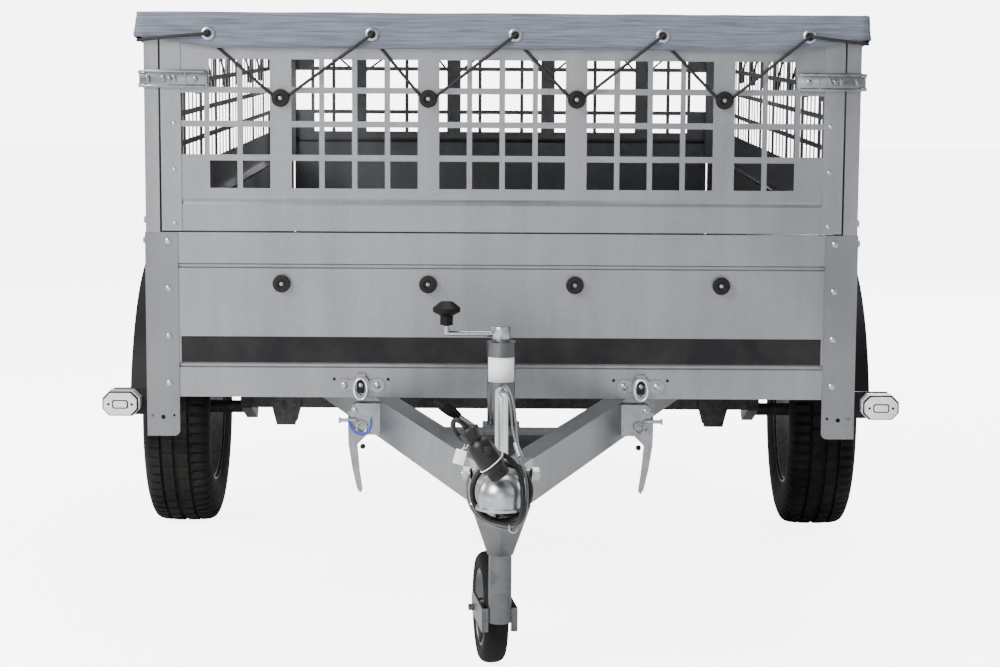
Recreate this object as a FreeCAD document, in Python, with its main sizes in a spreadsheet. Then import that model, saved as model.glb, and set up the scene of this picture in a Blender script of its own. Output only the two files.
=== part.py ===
import FreeCAD, Part
import math
import os
import re

import Sketcher
from FreeCAD import Placement, Rotation, Vector

# Single-axle tipping box trailer with perforated side extensions, a flat tarpaulin,
# a V-shaped drawbar, a ball coupling and a jockey wheel.
#
# Every piece is drawn with the load bed level: X to the right, Y to the rear from the
# front board's outer face, Z up from the road under the main tyres. The parked trailer
# leans nose down on its jockey wheel, so each finished piece gets one common placement,
# the stance, which also puts the origin on the ground below the middle of the trailer.

SIZES = {
    # load box
    "box_width": 1300, "box_length": 2420, "bed_height": 504, "board_height": 303,
    "board_thick": 25, "bead_depth": 4, "bead_width": 9, "bead_low": 59, "bead_high": 242,
    "plate_thick": 2, "corner_leg": 60, "corner_drop": 73, "corner_round": 11,
    "plate_hole": 4.2, "plate_hole_rise": 35, "small_hole": 2.5, "small_hole_rise": 38,
    "hole_edge": 9.5, "hole_spread": 20, "floor_thick": 9, "member_height": 25,
    "member_width": 60, "member_wall": 3,
    # clearances
    "fit_gap": 0.3, "run_gap": 0.4, "door_gap": 5, "overrun": 10,
    # perforated extensions
    "panel_gap": 3, "panel_height": 390, "panel_fold": 25, "sheet_thick": 2,
    "hole_side": 49.9, "upright_bar": 9.6, "level_bar": 11, "strip_width": 39.1, "hole_foot": 78,
    "post_width": 26, "post_depth": 30, "post_inset": 2, "post_gap": 3.5,
    "front_margin": 24, "side_margin": 75,
    "channel_width": 36.5, "channel_proud": 2, "crease_rise": 53, "crease_half": 5.5,
    "crease_depth": 2.5,
    # tarpaulin
    "tarp_reach": 9, "tarp_thick": 3, "tarp_skirt": 65,
    # running gear
    "tyre_radius": 273.5, "tyre_width": 155, "bead_radius": 165, "bead_share": 0.78,
    "flank_share": 0.8, "crown_share": 0.74, "wheel_out": 97.5,
    "axle_place": 1305, "rim_width": 128, "rim_wall": 5, "well_depth": 20, "seat_share": 0.6,
    "well_share": 0.4, "disc_share": 0.42, "disc_inner_share": 0.2, "disc_thick": 8,
    "hub_radius": 55, "hub_length": 90,
    "spindle_radius": 15, "axle_tube": 50, "axle_wall": 4, "axle_inset": 65, "arm_lead": 110,
    "arm_rise": 44.5, "arm_thick": 25, "arm_big": 32, "arm_small": 27,
    "fender_radius": 378, "fender_thick": 4, "fender_lip": 32, "fender_width": 182,
    "fender_angle": 149,
    # drawbar
    "beam_height": 70, "beam_width": 40, "beam_wall": 3, "hinge_inset": 68.7, "beam_apex": 776,
    "beam_front": 738, "hinge_place": 1250, "sleeve_radius": 17, "sleeve_length": 60,
    "hinge_pin_radius": 8, "cheek_thick": 6, "cheek_width": 44, "cross_reach": 361,
    "cross_depth": 50, "seat_gap": 0.3,
    # brace under the drawbar's nose
    "gusset_place": 658, "gusset_top_half": 48, "gusset_top_depth": 34, "gusset_foot_half": 22,
    "gusset_foot_depth": 20, "gusset_fold": 4.5,
    # jockey wheel
    "jack_place": 280, "outer_radius": 24, "outer_drop": 224, "outer_rise": 118,
    "cap_height": 25, "cap_radius": 25.5, "inner_radius": 20, "inner_wall": 3,
    "inner_lift": 5, "inner_rise": 31, "nut_height": 40, "jack_axle_height": 150,
    "jack_trail": 130, "castor_turn": 7.5, "jack_tyre_radius": 100, "jack_tyre_width": 44,
    "jack_rim_radius": 68, "jack_bead_share": 0.8, "jack_flank_share": 0.87,
    "jack_crown_share": 0.5, "jack_web_share": 0.2, "jack_bolt_radius": 6,
    "jack_hub_radius": 16, "fork_height": 42,
    "fork_thick": 4, "fork_inside": 27.5, "fork_lift": 8,
    "boss_radius": 12.5, "boss_height": 25, "crank_reach": 94, "crank_radius": 5,
    "knob_lift": 15.5, "knob_radius": 23.6, "knob_waist": 11, "knob_height": 24,
    "knob_neck": 15.5, "knob_edge": 7,
    "clamp_radius": 32, "clamp_height": 58,
    "clamp_rod": 5, "clamp_boss": 8, "rod_length": 48, "rod_low": 14, "rod_place": 290,
    "rod_run": 86, "rod_climb": 60, "grip_radius": 10, "grip_end": 6.5, "grip_length": 50,
    # coupling
    "ball_place": 800, "ball_drop": 20, "ball_radius": 25.3, "cup_radius": 34.5, "cup_drop": 40,
    "lip_radius": 38.5, "lip_height": 4, "neck_half": 26, "neck_rise": 10, "neck_rear": 640,
    "saddle_front": 700, "saddle_rear": 620, "saddle_thick": 4, "bolt_place": 660,
    "bolt_drop": 14, "bolt_radius": 9.5, "bolt_height": 8, "handle_width": 20,
    "handle_thick": 6, "handle_rise": 119, "handle_front": 744, "handle_run": 94,
    # tipping latches
    "latch_out": 50, "latch_inset": 6, "latch_round": 10, "latch_depth": 28, "latch_drop": 6,
    "latch_height": 58, "latch_wall": 4, "lever_drop": 174.5, "lever_height": 153,
    "lever_span": 41, "lever_thick": 6, "lever_rivet": 9, "rivet_inset": 27, "rivet_rise": 12,
    "rivet_proud": 3, "keeper_out": 27, "ear_radius": 13, "ear_spread": 30.3, "ear_rise": 23,
    "keeper_thick": 3, "keeper_height": 20, "housing_half": 8, "housing_depth": 9,
    "housing_low": 8, "housing_height": 37, "loop_half": 16, "loop_tall": 20.5,
    "loop_wire": 4.4, "loop_rise": 20.5,
    # front marker lamps
    "lamp_width": 69, "lamp_height": 46, "lamp_depth": 30, "lamp_out": 48, "lamp_drop": 13,
    "lamp_cut": 13, "lamp_arm_thick": 3, "lamp_arm_height": 50, "lamp_front": 5,
    # rear lighting
    "bar_rear": 45, "bar_height": 115, "bar_thick": 3, "bar_flange": 30, "tail_width": 210,
    "tail_height": 100, "tail_depth": 34, "tail_margin": 12, "plate_width": 520,
    "carrier_height": 112,
    # axle brackets
    "bracket_inset": 81, "bracket_half": 36, "bracket_foot_half": 22, "bracket_thick": 6,
    "bracket_drop": 65, "knee_drop": 10, "bracket_neck": 20,
    # corner latches of the extensions
    "clip_height": 33, "clip_drop": 113, "clip_reach": 112, "clip_depth": 5, "clip_return": 24,
}

# Corners of the latch lever, across its span and up its height, and of half a keeper loop.
LEVER_SHARES = ((0, 1), (0, 0.765), (0.02, 0.595), (0.2, 0.29), (0.4, 0.055), (0.54, 0),
                (0.65, 0.04), (0.52, 0.29), (0.42, 0.595), (0.86, 0.71), (1, 0.8), (1, 1))
LOOP_SHARES = ((0, -1), (0.45, -0.72), (0.82, -0.3), (1, 0.15), (0.95, 0.5), (0.7, 0.82),
               (0.35, 0.97), (0, 1))

# Places worked out from the sizes above.
PLACES = {
    "board_half": "box_width / 2 - plate_thick",
    "board_top": "bed_height + board_height",
    "floor_low": "bed_height + member_height",
    "tailgate_half": "box_width / 2 - corner_leg - door_gap",
    "tailgate_top": "board_top + panel_gap - door_gap",
    "tailgate_pin_y": "box_length - board_thick / 2",
    "tailgate_pin_z": "bed_height + board_thick / 2",
    "sill_end": "tailgate_pin_y - board_thick * sqrt(2) / 2 - door_gap",
    "panel_foot": "board_top + panel_gap",
    "panel_top": "panel_foot + panel_height",
    "post_outer": "box_width / 2 - post_inset",
    "post_inner": "post_outer - post_width",
    "wheel_x": "box_width / 2 + wheel_out",
    "axle_half": "board_half - axle_inset",
    "bracket_place": "axle_half - bracket_inset",
    "lamp_place": "box_width / 2 + lamp_out",
    "arm_x": "axle_half + run_gap",
    "axle_y": "axle_place - arm_lead",
    "axle_z": "tyre_radius + arm_rise",
    "hinge_z": "bed_height - beam_height / 2 - seat_gap",
    "beam_top": "bed_height - seat_gap",
    "beam_foot": "beam_top - beam_height",
    "hinge_x": "board_half - hinge_inset",
    "drawbar_run": "hinge_place + beam_apex",
    "beam_angle": "(atan(hinge_x / drawbar_run) + asin(beam_width / 2 / "
                  "sqrt(hinge_x * hinge_x + drawbar_run * drawbar_run))) / (1 deg)",
    "latch_line": "beam_apex * tan(beam_angle)",
    "latch_outer": "latch_line + latch_out",
    "latch_top": "bed_height - latch_drop",
    "latch_foot": "latch_top - latch_height",
    "lever_foot": "bed_height - lever_drop",
    "keeper_place": "latch_line + keeper_out",
    "loop_level": "bed_height + loop_rise",
    "lamp_level": "bed_height - lamp_drop",
    "bracket_foot": "axle_z - bracket_drop",
    "bracket_knee": "axle_z - knee_drop",
    "clip_level": "panel_top - clip_drop",
    "ball_height": "bed_height - ball_drop",
    "cup_foot": "bed_height - cup_drop",
    "neck_top": "bed_height + neck_rise",
    "outer_foot": "bed_height - outer_drop",
    "outer_top": "bed_height + outer_rise",
    "inner_foot": "jack_axle_height + inner_lift",
    "inner_top": "bed_height + inner_rise",
    "outer_bore": "inner_radius + run_gap",
}

doc = FreeCAD.newDocument("UtilityTrailer")
sizes = doc.addObject("Spreadsheet::Sheet", "Sizes")
places = doc.addObject("App::VarSet", "Places")


def bound(formula):
    """Name the sheet or the place list in front of each word of a formula."""
    def owner(word):
        name = word.group()
        if name in SIZES:
            return "Sizes." + name
        if name in PLACES:
            return "Places." + name
        return name
    text = re.sub(r"[a-z][a-z0-9_]*", owner, formula)
    return re.sub(r"\b(tan|cos|sin)\(([^()]*)\)", r"\1((\2) * 1 deg)", text)


def fill_sheet():
    for row, (name, value) in enumerate(SIZES.items(), start=1):
        sizes.set("A%d" % row, name)
        sizes.set("B%d" % row, str(value))
        sizes.setAlias("B%d" % row, name)
    doc.recompute()
    for name, formula in PLACES.items():
        places.addProperty("App::PropertyFloat", name)
        places.setExpression(name, bound(formula))
    doc.recompute()


fill_sheet()


def size(name):
    return float(getattr(sizes if name in SIZES else places, name))


def stance():
    """Lean the level trailer onto its tyres and jockey wheel and centre it on the ground."""
    run = size("axle_place") + size("jack_place") - size("jack_trail") * math.cos(castor_angle())
    rise = size("tyre_radius") - size("jack_axle_height")
    drop = size("tyre_radius") - size("jack_tyre_radius")
    lean = math.atan2(rise, run) - math.asin(drop / math.hypot(run, rise))
    turn = Rotation(Vector(1, 0, 0), math.degrees(-lean))
    axle = turn.multVec(Vector(0, size("axle_place"), size("tyre_radius")))
    nose = turn.multVec(Vector(0, -size("ball_place"), size("ball_height")))
    tail = turn.multVec(Vector(0, size("box_length") + size("plate_thick"),
                               size("bed_height") - size("corner_drop")))
    middle = (nose.y - size("cup_radius") + tail.y) / 2
    return Placement(Vector(0, -middle, size("tyre_radius") - axle.z), turn)


def castor_angle():
    return math.radians(size("castor_turn"))


STANCE = stance()
SUB_PARTS = []


# Helpers that make bound shapes

def finish(piece, label):
    """Name a sub-part and put it in the parked stance."""
    if piece.ExpressionEngine and piece.isDerivedFrom("Part::Primitive"):
        piece = gathered(piece.Name + "Placed", [piece])
    piece.Label = label
    piece.Placement = STANCE.multiply(piece.Placement)
    SUB_PARTS.append(piece)
    return piece


def block(name, x, y, z, length, width, height):
    piece = doc.addObject("Part::Box", name)
    bind(piece, {"Length": length, "Width": width, "Height": height})
    bind(piece, {"Placement.Base.x": x, "Placement.Base.y": y, "Placement.Base.z": z})
    return piece


def rod(name, x, y, z, axis, radius, length):
    piece = doc.addObject("Part::Cylinder", name)
    turns = {"x": Rotation(Vector(0, 1, 0), 90), "y": Rotation(Vector(1, 0, 0), -90)}
    if axis in turns:
        piece.Placement = Placement(Vector(0, 0, 0), turns[axis])
    bind(piece, {"Radius": radius, "Height": length})
    bind(piece, {"Placement.Base.x": x, "Placement.Base.y": y, "Placement.Base.z": z})
    return piece


def bind(piece, formulas):
    for field, formula in formulas.items():
        piece.setExpression(field, bound(formula))


def fused(name, pieces):
    whole = doc.addObject("Part::MultiFuse", name)
    whole.Shapes = pieces
    whole.Refine = True
    return whole


def gathered(name, pieces):
    whole = doc.addObject("Part::Compound", name)
    whole.Links = pieces
    return whole


def less(name, base, tool):
    rest = doc.addObject("Part::Cut", name)
    rest.Base = base
    rest.Tool = tool
    return rest


def mirrored(source, label):
    """The same piece on the right-hand side."""
    twin = doc.addObject("Part::Mirroring", label.title().replace("_", ""))
    twin.Source = source
    twin.Normal = Vector(1, 0, 0)
    twin.Label = label
    SUB_PARTS.append(twin)
    return twin


def paired(piece, label):
    """A piece and its mirror image on the other side, kept together as one sub-part."""
    twin = doc.addObject("Part::Mirroring", piece.Name + "Twin")
    twin.Source = piece
    twin.Normal = Vector(1, 0, 0)
    return finish(gathered(label.title().replace("_", "") + "Pair", [piece, twin]), label)


def new_body(name):
    return doc.addObject("PartDesign::Body", name)


def outline(body, name, plane, points, offset="0"):
    """A closed outline whose corners are held at bound distances from the origin."""
    role = {"xy": "XY_Plane", "xz": "XZ_Plane", "yz": "YZ_Plane"}[plane]
    sketch = body.newObject("Sketcher::SketchObject", name)
    plane_feature = [item for item in body.Origin.OriginFeatures if item.Role == role][0]
    sketch.AttachmentSupport = [(plane_feature, "")]
    sketch.MapMode = "FlatFace"
    sketch.setExpression("AttachmentOffset.Base.z", bound(offset))
    count = len(points)
    ring = [Vector(math.cos(2 * math.pi * i / count), math.sin(2 * math.pi * i / count), 0)
            for i in range(count)]
    for i in range(count):
        sketch.addGeometry(Part.LineSegment(ring[i], ring[(i + 1) % count]), False)
    for i in range(count):
        sketch.addConstraint(Sketcher.Constraint("Coincident", i, 2, (i + 1) % count, 1))
    for i, (across, up) in enumerate(points):
        for kind, formula, start in (("DistanceX", across, ring[i].x), ("DistanceY", up, ring[i].y)):
            number = sketch.addConstraint(Sketcher.Constraint(kind, -1, 1, i, 1, start))
            sketch.setExpression("Constraints[%d]" % number, bound(formula))
    return sketch


def pad(body, sketch, length, middle=False, back=False):
    feature = body.newObject("PartDesign::Pad", sketch.Name + "Pad")
    feature.Profile = sketch
    feature.setExpression("Length", bound(length))
    feature.Midplane = middle
    feature.Reversed = back
    doc.recompute()
    return feature


def turned(body, sketch, angle="", axis="H_Axis"):
    """Revolve an outline about the sketch's own axis."""
    feature = body.newObject("PartDesign::Revolution", sketch.Name + "Turn")
    feature.Profile = sketch
    feature.ReferenceAxis = (sketch, [axis])
    if angle:
        feature.setExpression("Angle", bound(angle))
        feature.Midplane = True
    else:
        feature.Angle = 360
    doc.recompute()
    return feature


# Load box

def front_board():
    body = new_body("FrontBoard")
    sheet = outline(body, "FrontBoardSection", "yz", board_section())
    pad(body, sheet, "2 * board_half", middle=True)
    return finish(body, "front_board")


def board_section():
    """Section of a lower board, outer face at zero, with its two pressed beads."""
    points = [("0", "bed_height")]
    for bead in ("bead_low", "bead_high"):
        points += [("0", "bed_height + %s - bead_width / 2" % bead),
                   ("bead_depth", "bed_height + %s - bead_width / 4" % bead),
                   ("bead_depth", "bed_height + %s + bead_width / 4" % bead),
                   ("0", "bed_height + %s + bead_width / 2" % bead)]
    return points + [("0", "board_top"), ("board_thick", "board_top"),
                     ("board_thick", "bed_height")]


def side_board():
    body = new_body("SideBoardLeft")
    points = [("%s - board_half" % across, up) for across, up in board_section()]
    sheet = outline(body, "SideBoardSection", "xz", points, "-board_thick - fit_gap")
    pad(body, sheet, "box_length - 2 * board_thick - 2 * fit_gap", back=True)
    left = finish(body, "side_board_left")
    return left, mirrored(left, "side_board_right")


def tailgate():
    body = new_body("Tailgate")
    points = []
    for across, up in board_section():
        top = up.replace("board_top", "tailgate_top")
        points.append(("box_length - (%s)" % across, top))
    sheet = outline(body, "TailgateSection", "yz", points)
    pad(body, sheet, "2 * tailgate_half", middle=True)
    hole = rod("TailgateBore", "-tailgate_half - overrun", "tailgate_pin_y", "tailgate_pin_z", "x",
               "hinge_pin_radius / 2 + run_gap", "2 * tailgate_half + 2 * overrun")
    return finish(less("TailgateBored", body, hole), "tailgate")


def corner_plate(name, rear):
    """Folded plate round a corner; at the rear it is riveted to a closed post."""
    body = new_body(name)
    side = "-box_width / 2"
    face, sign = ("box_length + plate_thick", "-") if rear else ("-plate_thick", "+")
    points = [(side, face), (side, "%s %s corner_leg" % (face, sign)),
              (side + " + plate_thick - fit_gap", "%s %s corner_leg" % (face, sign)),
              (side + " + plate_thick - fit_gap", "%s %s (plate_thick - fit_gap)" % (face, sign)),
              (side + " + corner_leg", "%s %s (plate_thick - fit_gap)" % (face, sign)),
              (side + " + corner_leg", face)]
    sheet = outline(body, name + "Section", "xy", points, "bed_height - corner_drop")
    pad(body, sheet, "board_top - bed_height + corner_drop")
    plate = less(name + "Trimmed", body, corner_cuts(name, "box_length" if rear else "0"))
    if not rear:
        return plate
    post = block(name + "Post", "-board_half", "box_length - board_thick", "bed_height",
                 "corner_leg - plate_thick", "board_thick + fit_gap", "board_height")
    pin = rod(name + "Pin", "-box_width / 2 + corner_leg - overrun", "tailgate_pin_y",
              "tailgate_pin_z", "x", "hinge_pin_radius / 2", "4 * overrun")
    return fused(name + "Whole", [plate, post, pin])


def corner_cuts(name, face):
    """The rounded lower inner corner and the three holes above it."""
    start, deep = face + " - overrun", "2 * overrun"
    inner, low = "-box_width / 2 + corner_leg - corner_round", "bed_height - corner_drop"
    corner = block(name + "Corner", inner, start, low + " - overrun", "corner_round + overrun", deep,
                   "corner_round + overrun")
    core = rod(name + "Round", inner, start, low + " + corner_round", "y", "corner_round", deep)
    cuts = [less(name + "CornerCut", corner, core)]
    for number, (step, radius, rise) in enumerate((("0", "small_hole", "small_hole_rise"),
                                                   ("hole_spread", "plate_hole", "plate_hole_rise"),
                                                   ("2 * hole_spread", "small_hole", "small_hole_rise"))):
        cuts.append(rod("%sHole%d" % (name, number), "-box_width / 2 + hole_edge + " + step, start,
                        "%s + %s" % (low, rise), "y", radius, deep))
    return gathered(name + "Cuts", cuts)


def corner_plates():
    for rear, word in ((False, "front"), (True, "rear")):
        paired(corner_plate("CornerPlate" + word.title(), rear), "corner_plates_" + word)


def load_floor():
    half = "board_half - board_thick - fit_gap"
    piece = block("LoadFloor", "-(%s)" % half, "board_thick + fit_gap", "floor_low + fit_gap",
                  "2 * (%s)" % half, "sill_end - board_thick - fit_gap", "floor_thick")
    return finish(piece, "load_floor")


def cross_members():
    """Channels under the floor, open downwards, from side board to side board."""
    members = []
    half = "board_half - board_thick - fit_gap"
    starts = ["board_thick + fit_gap", "(hinge_place + board_thick) / 2 - member_width / 2",
              "hinge_place - member_width / 2",
              "(hinge_place + sill_end) / 2 - member_width / 2", "sill_end - member_width"]
    for number, start in enumerate(starts):
        name = "CrossMember%d" % number
        bar = block(name, "-(%s)" % half, start, "bed_height", "2 * (%s)" % half,
                    "member_width", "member_height")
        room = block(name + "Room", "-(%s) - overrun" % half, start + " + member_wall",
                     "bed_height - overrun", "2 * (%s) + 2 * overrun" % half,
                     "member_width - 2 * member_wall", "member_height - member_wall + overrun")
        members.append(less(name + "Channel", bar, room))
    return finish(gathered("CrossMembers", members), "cross_members")


# Perforated extensions

def hole_runs(half_span):
    """Column positions of the square holes either side of the middle, strips between groups."""
    pitch = size("hole_side") + size("upright_bar")
    group = 4 * pitch - size("upright_bar") + size("strip_width")
    side_strips = int((half_span + group / 2) // group)
    columns = []
    for number in range(-side_strips, side_strips + 1):
        low = number * group - group / 2 + size("strip_width") / 2
        for column in range(4):
            start = low + column * pitch
            if start > -half_span - size("fit_gap"):
                if start + size("hole_side") < half_span + size("fit_gap"):
                    columns.append(start)
    return columns


def perforated_sheet(half_length, half_span):
    """A flat sheet in the X and Z plane with its grid of square holes, as thick as a sheet."""
    foot, top = size("panel_foot"), size("panel_top")
    rim = Part.makePolygon([Vector(-half_length, 0, foot), Vector(half_length, 0, foot),
                            Vector(half_length, 0, top), Vector(-half_length, 0, top),
                            Vector(-half_length, 0, foot)])
    wires = [rim]
    side = size("hole_side")
    columns = hole_runs(half_span)
    for start in columns:
        outer = start in (columns[0], columns[-1])
        for row in range(1 if outer else 0, 3 if outer else 4):
            low = foot + size("hole_foot") + row * (side + size("level_bar"))
            wires.append(Part.makePolygon([Vector(start, 0, low), Vector(start + side, 0, low),
                                           Vector(start + side, 0, low + side),
                                           Vector(start, 0, low + side), Vector(start, 0, low)]))
    face = Part.Face(wires, "Part::FaceMakerBullseye")
    return face.extrude(Vector(0, size("sheet_thick"), 0))


def panel_frame(half_length, end_width):
    """Folded edges and end channels behind a perforated sheet."""
    fold, wall = size("panel_fold"), size("sheet_thick")
    foot, top = size("panel_foot"), size("panel_top")
    length = 2 * half_length
    pieces = [Part.makeBox(length, fold, wall, Vector(-half_length, 0, foot)),
              Part.makeBox(length, fold, wall, Vector(-half_length, 0, top - wall))]
    for start in (-half_length, half_length - end_width):
        pieces.append(Part.makeBox(end_width, wall, top - foot, Vector(start, fold - wall, foot)))
        for side in (start, start + end_width - wall):
            pieces.append(Part.makeBox(wall, fold, top - foot, Vector(side, 0, foot)))
    return pieces


def crease(half_length, share, grow):
    """A prism across the sheet, for the pressed groove and for the ridge behind it."""
    level, half = size("panel_foot") + size("crease_rise"), size("crease_half")
    face = size("sheet_thick") * share
    rim = Part.makePolygon([Vector(-half_length, face - grow, level - half),
                            Vector(-half_length, face + size("crease_depth"), level),
                            Vector(-half_length, face - grow, level + half),
                            Vector(-half_length, face - grow, level - half)])
    return Part.Face(rim).extrude(Vector(2 * half_length, 0, 0))


def end_panel(label, rear):
    half_length = size("post_inner") - size("post_gap")
    half_span = half_length - size("front_margin")
    sheet = perforated_sheet(half_length, half_span)
    width, proud = size("channel_width"), size("channel_proud")
    foot, tall = size("panel_foot"), size("panel_height")
    pieces = panel_frame(half_length, width)
    for start in (-half_length, half_length - width):
        pieces.append(Part.makeBox(width, proud, tall, Vector(start, -proud, foot)))
    pieces.append(crease(half_length - width, 1, 0))
    shape = sheet.fuse(pieces).cut(crease(half_length - width, 0, 0))
    if rear:
        shape = shape.mirror(Vector(0, 0, 0), Vector(0, 1, 0))
        shape.translate(Vector(0, size("box_length"), 0))
    return settled(shape.removeSplitter(), label)


def kept(name, shape):
    """Keep a worked-out shape in the document."""
    piece = doc.addObject("Part::Feature", name)
    piece.Shape = shape
    return piece


def settled(shape, label):
    """Keep a worked-out shape as a sub-part of its own."""
    return finish(kept(label.title().replace("_", ""), shape), label)


def side_panel():
    half_length = size("box_length") / 2 - size("post_depth") + size("plate_thick")
    half_span = size("box_length") / 2 - size("side_margin")
    wall = size("sheet_thick")
    sheet = perforated_sheet(half_length, half_span)
    pieces = panel_frame(half_length, wall)
    shape = sheet.fuse(pieces)
    shape.rotate(Vector(0, 0, 0), Vector(0, 0, 1), -90)
    shape.translate(Vector(-size("box_width") / 2, size("box_length") / 2, 0))
    posts = []
    for start in (-wall, size("box_length") + wall - size("post_depth")):
        foot = size("board_top") + size("fit_gap")
        posts.append(Part.makeBox(size("post_width"), size("post_depth"), size("panel_top") - foot,
                                  Vector(-size("post_outer"), start, foot)))
    whole = shape.fuse(posts).removeSplitter()
    left = settled(whole, "mesh_panel_left")
    return left, mirrored(left, "mesh_panel_right")


def corner_clips():
    """Over-centre catches that hold the extensions together near their top corners."""
    for rear, word in ((False, "front"), (True, "rear")):
        body = new_body("CornerClip" + word.title())
        face, sign = ("box_length + plate_thick + fit_gap", "+") if rear else \
            ("-plate_thick - fit_gap", "-")
        out = "-post_outer - fit_gap"
        back = "+" if sign == "-" else "-"
        points = [(out, face), (out, "%s %s clip_return" % (face, back)),
                  (out + " - clip_depth", "%s %s clip_return" % (face, back)),
                  (out + " - clip_depth", "%s %s clip_depth" % (face, sign)),
                  (out + " + clip_reach", "%s %s clip_depth" % (face, sign)),
                  (out + " + clip_reach", face)]
        sheet = outline(body, "CornerClipSection" + word.title(), "xy", points,
                        "clip_level - clip_height / 2")
        pad(body, sheet, "clip_height")
        paired(body, "corner_clips_" + word)


def tarpaulin():
    half = "post_outer + tarp_reach"
    low = "panel_top + fit_gap + tarp_thick - tarp_skirt"
    cover = block("TarpCover", "-(%s)" % half, "-tarp_reach", low, "2 * (%s)" % half,
                  "box_length + 2 * tarp_reach", "tarp_skirt")
    room = block("TarpRoom", "tarp_thick - (%s)" % half, "tarp_thick - tarp_reach",
                 low + " - overrun", "2 * (%s - tarp_thick)" % half,
                 "box_length + 2 * tarp_reach - 2 * tarp_thick",
                 "tarp_skirt - tarp_thick + overrun")
    return finish(less("Tarpaulin", cover, room), "tarpaulin")


# Running gear

def wheel(side, label_side):
    """Tyre and rim about a local axle along X, then set at the axle's end."""
    centre = Vector(side * size("wheel_x"), size("axle_place"), size("tyre_radius"))
    tyre = new_body("Tyre" + label_side.title())
    half = "tyre_width / 2"
    section = [("-bead_share * " + half, "bead_radius"), ("-" + half, "flank_share * tyre_radius"),
               ("-crown_share * " + half, "tyre_radius"), ("crown_share * " + half, "tyre_radius"),
               (half, "flank_share * tyre_radius"), ("bead_share * " + half, "bead_radius")]
    turned(tyre, outline(tyre, tyre.Name + "Section", "xz", section))
    tyre.Placement = Placement(centre, Rotation())
    finish(tyre, "tyre_" + label_side)
    rim = new_body("Rim" + label_side.title())
    turned(rim, outline(rim, rim.Name + "Section", "xz", rim_section()))
    turn = Rotation() if side > 0 else Rotation(Vector(0, 0, 1), 180)
    rim.Placement = Placement(centre, turn)
    finish(rim, "rim_" + label_side)


def rim_section():
    """Section of a rim with its disc and hub, outer side towards positive X."""
    out, edge = "rim_width / 2", "bead_radius - fit_gap"
    well = edge + " - well_depth"
    disc = "disc_share * " + out
    return [("-" + out, edge), ("-seat_share * " + out, edge), ("-well_share * " + out, well),
            ("well_share * " + out, well), ("seat_share * " + out, edge), (out, edge),
            (out, edge + " - rim_wall"), ("seat_share * " + out, edge + " - rim_wall"),
            (disc, well + " - rim_wall"), (disc, "spindle_radius + run_gap"),
            (disc + " - hub_length", "spindle_radius + run_gap"),
            (disc + " - hub_length", "hub_radius"), ("disc_inner_share * " + out, "hub_radius"),
            (disc + " - disc_thick", well + " - rim_wall"),
            ("-well_share * " + out, well + " - rim_wall"), ("-" + out, edge + " - rim_wall")]


def axle_beam():
    low = "axle_z - axle_tube / 2"
    bar = block("AxleBar", "-axle_half", "axle_y - axle_tube / 2", low, "2 * axle_half",
                "axle_tube", "axle_tube")
    room = block("AxleRoom", "-axle_half - overrun", "axle_y - axle_tube / 2 + axle_wall",
                 low + " + axle_wall", "2 * axle_half + 2 * overrun", "axle_tube - 2 * axle_wall",
                 "axle_tube - 2 * axle_wall")
    return finish(less("AxleBeam", bar, room), "axle_beam")


def axle_arm():
    """Trailing arm with the spindle that carries the wheel."""
    thick, start = size("arm_thick"), -size("arm_x") - size("arm_thick")
    big, small = size("arm_big"), size("arm_small")
    root = Vector(start, size("axle_y"), size("axle_z"))
    tip = Vector(start, size("axle_place"), size("tyre_radius"))
    across = Vector(1, 0, 0)
    line = tip - root
    span = line.Length
    lean = math.acos((big - small) / span)
    along = Vector(line).normalize()
    square = Vector(0, -along.z, along.y)
    edge = []
    for sign in (1, -1):
        ray = along * math.cos(lean) + square * (sign * math.sin(lean))
        edge.append((root + ray * big, tip + ray * small))
    flanks = Part.Face(Part.makePolygon([edge[0][0], edge[0][1], edge[1][1], edge[1][0],
                                         edge[0][0]])).extrude(across * thick)
    shape = Part.makeCylinder(big, thick, root, across)
    shape = shape.fuse([flanks, Part.makeCylinder(small, thick, tip, across)])
    reach = size("wheel_x") - size("arm_x") - thick + size("disc_share") * size("rim_width") / 2
    spindle = Part.makeCylinder(size("spindle_radius"), reach + size("overrun"),
                                Vector(start + size("overrun"), tip.y, tip.z), Vector(-1, 0, 0))
    return paired(kept("AxleArm", shape.fuse(spindle).removeSplitter()), "axle_arms")


def axle_bracket():
    """Plates either side of the axle tube that carry it under the floor channels."""
    body = new_body("AxleBracketPlate")
    points = [("-bracket_place - bracket_neck", "bed_height - fit_gap"),
              ("-bracket_place - bracket_neck", "axle_z + axle_tube / 2"),
              ("-bracket_place - bracket_half", "axle_z + axle_tube / 2"),
              ("-bracket_place - bracket_half", "bracket_knee"),
              ("-bracket_place - bracket_foot_half", "bracket_foot"),
              ("-bracket_place + bracket_foot_half", "bracket_foot"),
              ("-bracket_place + bracket_half", "bracket_knee"),
              ("-bracket_place + bracket_half", "axle_z + axle_tube / 2"),
              ("-bracket_place + bracket_neck", "axle_z + axle_tube / 2"),
              ("-bracket_place + bracket_neck", "bed_height - fit_gap")]
    front = outline(body, "AxleBracketFront", "xz", points, "-(axle_y - axle_tube / 2 - fit_gap)")
    pad(body, front, "bracket_thick")
    rear_body = new_body("AxleBracketRearPlate")
    rear = outline(rear_body, "AxleBracketRear", "xz", points,
                   "-(axle_y + axle_tube / 2 + fit_gap)")
    pad(rear_body, rear, "bracket_thick", back=True)
    start = "axle_y - axle_tube / 2 - fit_gap - bracket_thick"
    flange = block("AxleBracketFlange", "-bracket_place - bracket_neck", start,
                   "bed_height - fit_gap - bracket_thick", "2 * bracket_neck",
                   "hinge_place + member_width / 2 - (%s)" % start, "bracket_thick")
    return paired(fused("AxleBracket", [body, rear_body, flange]), "axle_brackets")


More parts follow.
